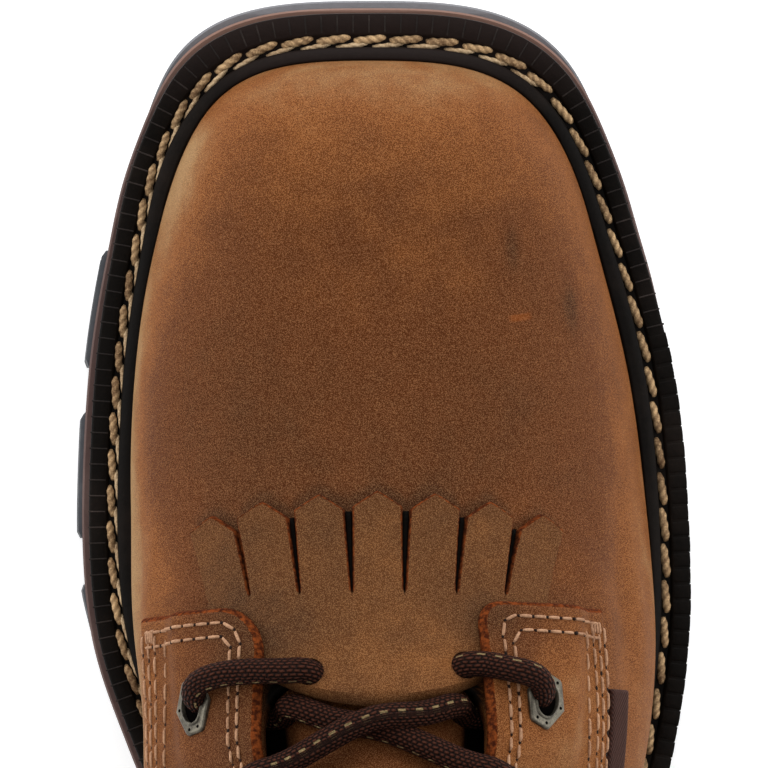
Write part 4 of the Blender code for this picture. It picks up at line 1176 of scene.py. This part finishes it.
def slitStrip(number):
    # a dark sheet inside the slit beside a finger: painted shade
    k = kiltie
    out = number - k["fingers"] / 2
    mouth = k["tipAt"] + k["tipBend"] * (abs(out) + 0.25) ** 2 + k["point"] + 0.2
    share = np.linspace(0, 1, k["slitRows"])[:, None]
    across = np.linspace(-1, 1, 5)[None, :]
    wide = (k["slits"][number] / 2 + k["slitMore"]) * (1 - share) + 0.06
    reach = out * fingerPitch(share) + wide * across + k["shift"]
    at = mouth + (k["rootAt"] - mouth) * share + 0 * across
    depth = np.minimum(1 - np.abs(across), np.minimum(share, 1 - share) * 12)
    shut = number == k["shut"]
    values = {"tone": 0 * at, "raw": 0 * at + shut, "paintedShade": 0 * at + (k["shutDark"] if shut else 1)}
    under = k["seat"] + k["slitUp"] + 0 * at
    return pad(at, reach, under, padTop(depth, k["slitHigh"], k["slitRound"]), values)


def makeKiltie():
    pads = [kiltieStrip(number) for number in range(kiltie["fingers"])]
    pads += [slitStrip(number) for number in range(1, kiltie["fingers"])]
    obj = sheetPiece("bootKiltie", pads, kiltieLeather)
    for side in bothSides:
        point, normal = skin(kiltie["holeAt"][side], side * kiltie["holeReach"][side], 0.0, True)
        radius, deep = kiltie["holeWide"] / 2 * mm, kiltie["holeDeep"] * mm
        bpy.ops.mesh.primitive_cylinder_add(vertices=kiltie["holeSides"], radius=radius, depth=deep)
        cutter = bpy.context.object
        cutter.matrix_world = Vector(normal).to_track_quat("Z", "X").to_matrix().to_4x4()
        cutter.location = Vector(point)
        cut = obj.modifiers.new("hole", "BOOLEAN")
        cut.operation = "DIFFERENCE"
        cut.object = cutter
        settled(obj)
        bpy.data.objects.remove(cutter)
    obj.data.set_sharp_from_angle(angle=math.radians(50))
    finishPiece(obj, "kiltie_leather", "kiltie")


makeKiltie()


# Stays: thick straps with a raw front and inner edge.
def stayDepth(x, y, long, side):
    corner = stay["corner"][side]
    cornerX, cornerY = np.maximum(corner - x, 0), np.maximum(corner - y, 0)
    both = (cornerX > 0) & (cornerY > 0)
    depth = np.where(both, corner - np.hypot(cornerX, cornerY), np.minimum(x, y))
    return np.maximum(np.minimum(np.minimum(depth, stay["wide"][side] - x), long - y), 0)


def makeStay(side):
    corner, wide, frontAt = stay["corner"][side], stay["wide"][side], stay["frontAt"][side]
    long = last["collarAt"] - frontAt
    across, along = edgeSteps(wide, stay["step"])[None, :], edgeSteps(long, stay["step"])[:, None]
    arc = corner - np.sqrt(np.maximum(corner ** 2 - (corner - across) ** 2, 0))
    y = along + np.where(across < corner, arc, 0) * fall(0, stay["settle"], along)
    x = across + 0 * y
    at = frontAt + y
    reach = side * (stayHalf(at, side) + x * stayWide(at, side) / wide)
    depth = stayDepth(x, y, long, side)
    # raw along the front and the inner edge, turned under along the outer one
    raw = fall(*stay["rawDeep"], depth) * np.maximum(fall(*stay["rawIn"], x), fall(*stay["rawFront"], y))
    values = {"tone": toneAndLightOf(at, reach) + 0.1, "raw": raw}
    strip = pad(at, reach, stayLift(at, reach), padTop(depth, stay["thick"], stay["round"]), values)
    word = sideWord[side]
    finishPiece(sheetPiece("bootStay" + word.title(), [strip], leather), "leather", "stay_" + word)


def stayRow(side, depthFront, depthInner):
    # a seam beside the front edge, round the corner and up the inner edge
    frontAt = stay["frontAt"][side]
    wide = float(stayWide(frontAt + depthFront, side))
    bend = max(stay["corner"][side] - depthInner, stay["bend"])
    turn = np.linspace(0, math.pi / 2, 14)
    front = np.linspace(wide - stay["rowShort"], depthInner + bend, 30)[:-1]
    top = last["collarAt"] - frontAt - stay["rowTop"]
    leg = np.linspace(depthFront + bend, top, 201)[1:]
    x = np.concatenate([front, depthInner + bend * (1 - np.sin(turn)), np.full(len(leg), depthInner)])
    y = np.concatenate([np.full(len(front), depthFront), depthFront + bend * (1 - np.cos(turn)), leg])
    return frontAt + y, x


def makeSeams():
    groups = {"staySeams": [], "stayEdgeSeams": [], "stayTacks": [], "collarSeams": []}

    def sew(name, side, at, x, pitch, start=0.5):
        reach = side * (stayHalf(at, side) + x)
        points, facings = skin(at, reach, stayTop(at, reach) - stay["sewn"], True)
        groups[name].append(alongPath(points, facings, pitch, start))

    for side in bothSides:
        frontAt, fan = stay["frontAt"][side], stay["fan"][side]
        for front, inside in stay["rows"]:
            sew("staySeams", side, *stayRow(side, front, inside), stay["pitch"])
        at = np.linspace(frontAt + stay["seamFrom"], last["collarAt"] - stay["seamTop"], 260)
        spread = 1 + (fan - 1) * fall(0, stay["fanOver"], at - frontAt)
        for i, inset in enumerate(stay["outerRows"]):
            x = stayWide(at, side) - inset * spread
            sew("stayEdgeSeams", side, at, x, stay["outerPitch"], 0.5 + 0.3 * (i % 2))
        # tacks across the outer front corner
        at = frontAt + np.linspace(*stay["tackAt"], 10)
        for step in range(stay["tacks"]):
            x = stayWide(at, side) - stay["tackIn"] * fan - stay["tackStep"] * step
            sew("stayTacks", side, at, x, stay["tackPitch"])
        for inset in stay["collarRows"]:
            at = last["collarAt"] - inset
            start = float(stayHalf(at, side) + stayWide(at, side)) + stay["collarFrom"]
            reach = side * np.linspace(start, float(ribLength(at, side)) - 0.5, 160)
            points, facings = skin(at, reach, -0.05, True)
            groups["collarSeams"].append(alongPath(points, facings, stay["pitch"]))
    holes = []
    for number, (name, parts) in enumerate(groups.items()):
        spots = [np.concatenate(values) for values in zip(*parts)]
        long, wide, high = stay["stitch"]
        if name == "stayEdgeSeams":
            long = stay["outerLong"]
        sizes = (long, wide, high)
        stitches = setCopies(name, threadUnit, spots, sizes, seamThread, jitter=0.1, seed=11 + number)
        finishPiece(stitches, "leather")
        if name != "stayTacks":
            ahead = unitRows(spots[2]) * (long / 2 + stay["holeAhead"]) * mm
            holes.append((spots[0] + ahead, spots[1], spots[2]))
    # dark plugs at the needle holes: painted shade, no holes are cut
    angles = np.linspace(0, 2 * math.pi, 9)[:-1]
    ring = [(math.cos(a) / 2, math.sin(a) / 2, z) for a in angles for z in (-0.5, 0.12)]
    unit = hullUnit("holeUnit", [ring], rubbers["needleHoleShade"])
    spots = [np.concatenate(values) for values in zip(*holes)]
    marks = setCopies("needleHoles", unit, spots, stay["hole"], rubbers["needleHoleShade"], jitter=0.2, seed=23)
    finishPiece(marks, "leather")
    bpy.data.objects.remove(unit)


for side in bothSides:
    makeStay(side)
makeSeams()


# Eyelets: long six-sided plates with a rolled hole, dark punch marks and a black disc of painted shade in
# the hole.
eyelet = {
    "pairs": 9, "firstAt": 129.7, "lastAt": 299, "fromEdge": {inner: 13.0, outer: 10.9},
    "long": 10.4, "wide": 8.6, "end": 4.0, "hole": (6.2, 4.5), "seat": 0.02, "around": 60,
    "turn": {inner: 4, outer: 18}, "marks": [(4.2, 1.1), (0, 3.2), (-4.2, 1.1)], "markWide": 0.3,
    # share of the way from the hole's rim out to the plate's edge, height
    "profile": [
        (1.0, -0.1), (1.0, 0.35), (0.94, 0.62), (0.8, 0.75), (0.3, 0.75), (0.22, 0.95),
        (0.08, 1.02), (0.0, 0.85), (0.0, -0.1),
    ],
}


def eyeletAt(pair):
    return eyelet["firstAt"] + (eyelet["lastAt"] - eyelet["firstAt"]) * pair / (eyelet["pairs"] - 1)


def eyeletReach(at, side):
    return stayHalf(at, side) + eyelet["fromEdge"][side]


def bothWays(spots):
    return list(spots) + [(-x, -y) for x, y in spots]


def plateRadius(angle):
    # distance to the six-sided border
    long, end = eyelet["long"] / 2, eyelet["end"] / 2
    corners = bothWays([(long, end), (0, eyelet["wide"] / 2), (-long, end)])
    best = math.inf
    for (ax, ay), (bx, by) in zip(corners, corners[1:] + corners[:1]):
        nx, ny = by - ay, ax - bx
        along = math.cos(angle) * nx + math.sin(angle) * ny
        if along > 1e-6:
            best = min(best, (ax * nx + ay * ny) / along)
    return best


def eyeletUnits():
    angles = [2 * math.pi * i / eyelet["around"] for i in range(eyelet["around"])]
    ways = [(math.cos(a), math.sin(a)) for a in angles]
    long, wide = eyelet["hole"]
    hole = [0.5 / math.hypot(x / long, y / wide) for x, y in ways]
    far = [plateRadius(a) for a in angles]
    rings = []
    for share, up in eyelet["profile"]:
        reach = [near + (away - near) * share for near, away in zip(hole, far)]
        rings.append([(x * size, y * size, up) for (x, y), size in zip(ways, reach)])
    faces = gridFaces(len(rings), len(angles), wrap=True)
    plate = makeMesh("eyeletUnit", np.array(rings), faces, gunmetal, sharp=45, weld=1e-4)
    # a black disc filling the hole: painted shade
    clouds = [[(x * near * 1.02, y * near * 1.02, up) for (x, y), near in zip(ways, hole)
               for up in (-0.05, 0.12)]]
    size = eyelet["markWide"]
    for x, y in bothWays(eyelet["marks"]):
        clouds.append([(x + size * dx, y + size * dy, up) for dx, dy in ways[::6] for up in (0.5, 0.79)])
    return plate, hullUnit("eyeletDots", clouds, eyeletDark)


def makeEyelets():
    plate, dots = eyeletUnits()
    spots, nodes = [], []
    for pair in range(eyelet["pairs"]):
        for side in bothSides:
            at = eyeletAt(pair)
            reach = side * eyeletReach(at, side)
            point, facing = skin(at, reach, stayTop(at, reach) + eyelet["seat"], True)
            before, after = [skin(at + step, side * eyeletReach(at + step, side)) for step in (-1, 1)]
            ahead = unitRows(after - before)
            across = np.cross(facing, ahead)
            angle = math.radians(eyelet["turn"][side]) * -side
            spots.append((point, facing, ahead * math.cos(angle) + across * math.sin(angle)))
            nodes.append(f"eyelet_{sideWord[side]}_{pair + 1}")
    spots = [np.array(values) for values in zip(*spots)]
    plates = setCopies("bootEyelets", plate, spots, (1, 1, 1), gunmetal, sharp=45)
    finishPiece(plates, "gunmetal", *nodes)
    finishPiece(setCopies("eyeletMarks", dots, spots, (1, 1, 1), eyeletDark, sharp=45), "gunmetal")
    for unit in (plate, dots):
        bpy.data.objects.remove(unit)


makeEyelets()


# Laces: two halves of one lace from the kiltie's holes up to the top eyelets.
lace = {
    "wide": 4.6, "sides": 18, "step": 0.55, "start": 0.2, "cross": 5.0, "hump": 3.4, "under": -5.3,
    "tuck": 4.0, "pastMiddle": 1, "plate": 0.95, "fine": 0.2, "passes": 30,
    "ripple": 0.02, "ripples": 6, "rippleRun": 2.4,
}


def overStay(side, at):
    # over the stay's edge, out to the eyelet and down through it
    half, reach, radius = float(stayHalf(at, side)), float(eyeletReach(at, side)), lace["wide"] / 2
    edgeTop = float(stayTop(at, half + 2)) + radius
    plateTop = float(stayTop(at, reach)) + lace["plate"] + radius
    over = [
        (7.6, half - 4.2, edgeTop - 2.1), (5.6, half - 1, edgeTop + 0.3), (4.2, half + 3, edgeTop + 0.4),
        (3.8, reach - 6.6, plateTop + 0.1), (3.4, reach - 4.6, plateTop + 0.1),
        (2.6, reach - 2.8, plateTop - 0.3), (1.6, reach - 1.5, plateTop - 1.6),
        (0.9, reach - 0.7, plateTop - 3.6),
    ]
    return [(at - ahead, side * where, lift) for ahead, where, lift in over]


def underStay(side, at):
    # from the eyelet back under the wall to the throat's edge
    half, reach, low = float(stayHalf(at, side)), float(eyeletReach(at, side)), lace["under"]
    under = [
        (-0.3, reach - 0.2, -1.6), (0.4, reach - 1.2, -4.4), (0.8, reach - 4.5, low),
        (0.7, half + 4, low), (0.5, half - 0.5, low + 0.5),
    ]
    return [(at + ahead, side * where, lift) for ahead, where, lift in under]


def laceSpots(first):
    low = -last["wall"] - tongue["clear"] + lace["wide"] / 2
    dipped, top = low - tongue["holeDip"], kiltieThick + lace["wide"] / 2
    holeAt, holeReach = kiltie["holeAt"][first], kiltie["holeReach"][first]
    mid = (kiltie["holeAt"][inner] + kiltie["holeAt"][outer]) / 2
    spots = [
        (mid, first * 0.5, dipped), (holeAt, first * (holeReach - 4), dipped + 0.3),
        (holeAt, first * (holeReach - 0.9), 0.2), (holeAt + 0.2, first * (holeReach + 0.7), top - 0.9),
        (holeAt + 0.7, first * (holeReach + 3.2), top + 0.5),
    ]
    spots += overStay(first, eyeletAt(0))[2:]
    side = first
    for pair in range(eyelet["pairs"] - 1):
        at = eyeletAt(pair)
        start, middle = at + lace["start"], at + lace["cross"]
        # of the two laces of a pair the one that comes from the outer side lies on top
        hump = lace["hump"] if side == outer else 0.0
        spots += underStay(side, at)
        spots += [
            (start, side * (float(stayHalf(start, side)) - lace["tuck"]), low),
            (start + (middle - start) * 0.6, side * 8, low + hump * 0.7),
            (middle, -side * lace["pastMiddle"], low + hump),
        ]
        side = -side
        spots += overStay(side, eyeletAt(pair + 1))
    spots += underStay(side, eyeletAt(eyelet["pairs"] - 1))[:2]
    return np.array(spots, float)


def tube(name, spots, material):
    points = skin(*spots.T) / mm
    chord = runAlong(points)
    rows = np.column_stack([chord, points]).tolist()
    fine = np.linspace(0, chord[-1], int(chord[-1] / lace["fine"]))
    path = np.stack([curveThrough(rows, column)(fine) for column in (1, 2, 3)], -1)
    for _ in range(lace["passes"]):
        path[1:-1] += 0.25 * (path[:-2] - 2 * path[1:-1] + path[2:])
    run = runAlong(path)
    where = np.linspace(0, run[-1], int(run[-1] / lace["step"]))
    path = readAt(path, run, where)
    ahead = unitRows(np.gradient(path, axis=0))
    side = np.cross(ahead[0], (0, 0, 1.0))
    angle = 2 * np.pi * np.arange(lace["sides"]) / lace["sides"]
    cosine, sine = np.cos(angle)[:, None], np.sin(angle)[:, None]
    rings = []
    for centre, tangent, length in zip(path, ahead, where):
        side = unitRows(side - tangent * (side @ tangent))
        up = np.cross(side, tangent)
        about, along = lace["ripples"] * angle, lace["rippleRun"] * length
        ripple = np.cos(about + along) * np.cos(about - along)
        radius = lace["wide"] / 2 * (1 + lace["ripple"] * ripple)
        rings.append(centre + radius[:, None] * (cosine * side + sine * up))
    turn = np.tile(angle / (2 * np.pi), (len(rings), 1))
    length = np.repeat(where[:, None], lace["sides"], axis=1)
    faces = closedFaces(len(rings), lace["sides"])
    values = {"turn": turn, "run": length}
    return makeMesh(name, np.array(rings) * mm, faces, material, values), where[-1]


def makeLaces():
    total = 0.0
    for first in bothSides:
        piece, long = tube("lace" + sideWord[first].title(), laceSpots(first), laceBraid)
        total += long
        crossings = range(1 if first == inner else 2, eyelet["pairs"], 2)
        nodes = [f"lace_crossing_{number}" for number in crossings]
        finishPiece(piece, "lace", f"lace_start_{sideWord[first]}", *nodes)
    print("lace length", round(total), "mm")


makeLaces()


# Side tag: bare woven tape beside the outer stay.
tag = {
    "at": (125.4, 163.4), "wide": 3.4, "thick": 0.9, "out": 2.0, "flare": 0.55, "round": 0.5,
    "seat": 0.1, "step": 1.2, "columns": 13,
}


def makeTag():
    along = edgeSteps(tag["at"][1] - tag["at"][0], tag["step"])[:, None]
    across = np.linspace(0, tag["wide"], tag["columns"])[None, :]
    at = tag["at"][0] + along + 0 * across
    reach = stayHalf(at, outer) + stayWide(at, outer) + tag["out"] + across
    depth = np.minimum(np.minimum(across, tag["wide"] - across), fromEnds(along))
    values = {"run": along + 0 * at, "turn": across / tag["wide"] + 0 * at}
    under = tag["seat"] + tag["flare"] * across + 0 * at
    strip = pad(at, reach, under, padTop(depth, tag["thick"], tag["round"]), values)
    finishPiece(sheetPiece("sideTag", [strip], tagTape), "tape", "side_tag")


makeTag()

for unit in (threadUnit, ropeUnit):
    bpy.data.objects.remove(unit)

# Outsole, lugs and midsole: smooth edges, drawn in a little along the outer side.
tread = {
    "steps": 240, "outerIn": 1.3, "outerFrom": (30, 80), "outerTo": (180, 270), "midsoleOut": 0.4,
    "bumperFade": (-4, 27), "bumper": 3.0, "midsoleToe": 0.8,
    # inset from the outline and height above the sole's line
    "sheet": [(0.9, 0.0), (0.2, 0.6), (0.2, 5.4), (0.6, 6.0)],
    "midsole": [(0.4, 6.02), (0.0, 6.4), (0.0, 10.0), (0.4, 10.55)],
    # lugs from and to, their bevel, how far in they go, and how far they stand out: less on the outer
    # side and, behind the ball, on the inner one
    "rows": [(44, 66), (75, 99), (108, 135), (144, 164)], "bevel": 1.2, "share": 0.62,
    "lugOut": 1.3, "lugOuterIn": 1.82, "lugInnerIn": (1.3, 104, 122), "ground": 0.02,
    # foot: beyond the outline, above the ground; side: beyond it, above the sole's line, bevel's share
    "lugFoot": [(0.0, 0.72), (0.6, 0.02)],
    "lugSide": [(0.0, 0.6, 0.0), (0.0, 4.4, 0.5), (-0.8, 5.0, 0.5), (-2.5, 5.0, 0.5), (-2.5, 0.3, 0.0)],
}


def sideTurn(along, side):
    return along if side == inner else 2 - along


def soleSlab(profile, bumper, innerOut):
    share = np.linspace(0, 1, tread["steps"] + 1)
    along = share ** 3 * (10 - 15 * share + 6 * share ** 2)
    out = bumper * fall(*tread["bumperFade"], along * sole["length"])
    rings = []
    for side, rows in ((inner, profile), (outer, profile[::-1])):
        for inset, up in rows:
            x, back = edge(sideTurn(along, side), inset - out)
            drawn = -innerOut if side == inner else tread["outerIn"]
            drawn = drawn * ease(*tread["outerFrom"], back) * fall(*tread["outerTo"], back)
            x = x - side * np.minimum(drawn, np.abs(x - outlineCentre(back)))
            rings.append(place(x, back, soleLine(back) + up))
    grid = np.stack(rings, 1)
    return grid.reshape(-1, 3), gridFaces(grid.shape[0], grid.shape[1], wrap=True).tolist()


def lugBlock(low, high, side):
    # bevelled block from the sheet's side down to the ground
    long, bevel = high - low, tread["bevel"]
    ends = np.array([0, 0.5, bevel])
    steps = np.concatenate([ends, np.linspace(3, long - 3, 9), (long - ends)[::-1]])
    shrink = np.minimum(fromEnds(steps), bevel) - bevel
    back = low + steps
    middle, line = outlineCentre(back), soleLine(back)
    drawn = stepped([tread["lugInnerIn"]], back) if side == inner else tread["lugOuterIn"]
    edgeX = np.abs(edge(sideTurn(back / sole["length"], side), 0.0)[0] - middle)
    near, far = edgeX * (1 - tread["share"]), edgeX + tread["lugOut"] - drawn + 0.5 * shrink
    rows = [(far + out, up + 0 * back) for out, up in tread["lugFoot"]]
    rows += [(far + out, line + up + shrink * less) for out, up, less in tread["lugSide"]]
    rows += [(near, line + tread["lugSide"][-1][1]), (near, tread["ground"] + 0 * back)]
    grid = np.stack([place(middle + side * reach, back, z) for reach, z in rows], 1)
    return grid.reshape(-1, 3), closedFaces(len(back), len(rows))


def makeSole():
    points, faces, start = [], [], 0
    blocks = [soleSlab(tread["sheet"], tread["bumper"], 0.0)]
    blocks += [lugBlock(low, high, side) for low, high in tread["rows"] for side in bothSides]
    for blockPoints, blockFaces in blocks:
        points.append(blockPoints)
        faces += [[corner + start for corner in face] for face in blockFaces]
        start += len(blockPoints)
    obj = makeMesh("bootOutsole", np.concatenate(points), faces, rubbers["soleRubber"], sharp=40)
    finishPiece(obj, "rubber", "outsole")
    points, faces = soleSlab(tread["midsole"], tread["midsoleToe"], tread["midsoleOut"])
    obj = makeMesh("bootMidsole", points, faces, rubbers["midsoleRubber"], sharp=50)
    finishPiece(obj, "midsole_rubber", "midsole")


makeSole()

# The heel and the insole keep their solids and take a worn finish.
for node, material in (("heel", rubbers["soleRubber"]), ("insole", lining)):
    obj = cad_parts[node]
    obj.data.materials.clear()
    obj.data.materials.append(material)

# Camera, light and floor.
view = {
    "place": (-0.02639, 0.04068, 1.1), "turns": (0.04121, -0.02336, -0.00487),
    "focal": 5670.84, "pixels": 768, "sensor": 36,
}
scene = bpy.context.scene
camera = bpy.data.objects.new("camera", bpy.data.cameras.new("camera"))
scene.collection.objects.link(camera)
camera.location = view["place"]
camera.rotation_mode = "ZXY"
camera.rotation_euler = view["turns"]
camera.data.sensor_width = view["sensor"]
camera.data.lens = view["sensor"] * view["focal"] / view["pixels"]
scene.camera = camera


def softbox(name, spot, aim, size, power):
    light = bpy.data.objects.new(name, bpy.data.lights.new(name, "AREA"))
    light.data.shape = "RECTANGLE"
    light.data.size, light.data.size_y = size
    light.data.energy = power
    light.location = spot
    light.rotation_euler = (Vector(aim) - Vector(spot)).to_track_quat("-Z", "Y").to_euler()
    scene.collection.objects.link(light)
    return light


lights = [
    softbox("boxInner", (-1.1, 0.15, 0.5), (0, 0, 0.05), (1.0, 0.7), 8),
    softbox("boxOuter", (1.1, 0.15, 0.5), (0, 0, 0.05), (1.0, 0.7), 7),
    softbox("boxToe", (0, 1.2, 0.5), (0, 0.05, 0.05), (1.2, 0.7), 9),
    softbox("boxTop", (0, 0.1, 1.6), (0, 0, 0), (1.4, 1.4), 5),
]
world = bpy.data.worlds.new("studio")
scene.world = world
world.use_nodes = True
sky = world.node_tree.nodes["Background"].inputs
sky["Color"].default_value = (1, 1, 1, 1)
sky["Strength"].default_value = 0.4
scene.view_settings.view_transform = "Standard"


floor = {"radius": 3, "sides": 64, "pale": (0.93, 0.93, 0.93, 1), "dull": (0.88, 0.88, 0.88, 1)}


def makeFloor():
    white = (1, 1, 1, 1)
    shade = Shade("paleFloor", {"Roughness": 0.9, "Specular IOR Level": 0.1, "Emission Color": white,
                                "Emission Strength": 0.45})
    base = shade.blend(shade.noise(6, 2) * 0.05, floor["pale"], floor["dull"])
    angles = np.linspace(0, 2 * math.pi, floor["sides"] + 1)[:-1]
    ring = np.array([(math.cos(a), math.sin(a), 0.0) for a in angles]) * floor["radius"]
    return makeMesh("paleFloor", ring, [list(range(floor["sides"]))], shade.feed(Base_Color=base))


makeFloor()
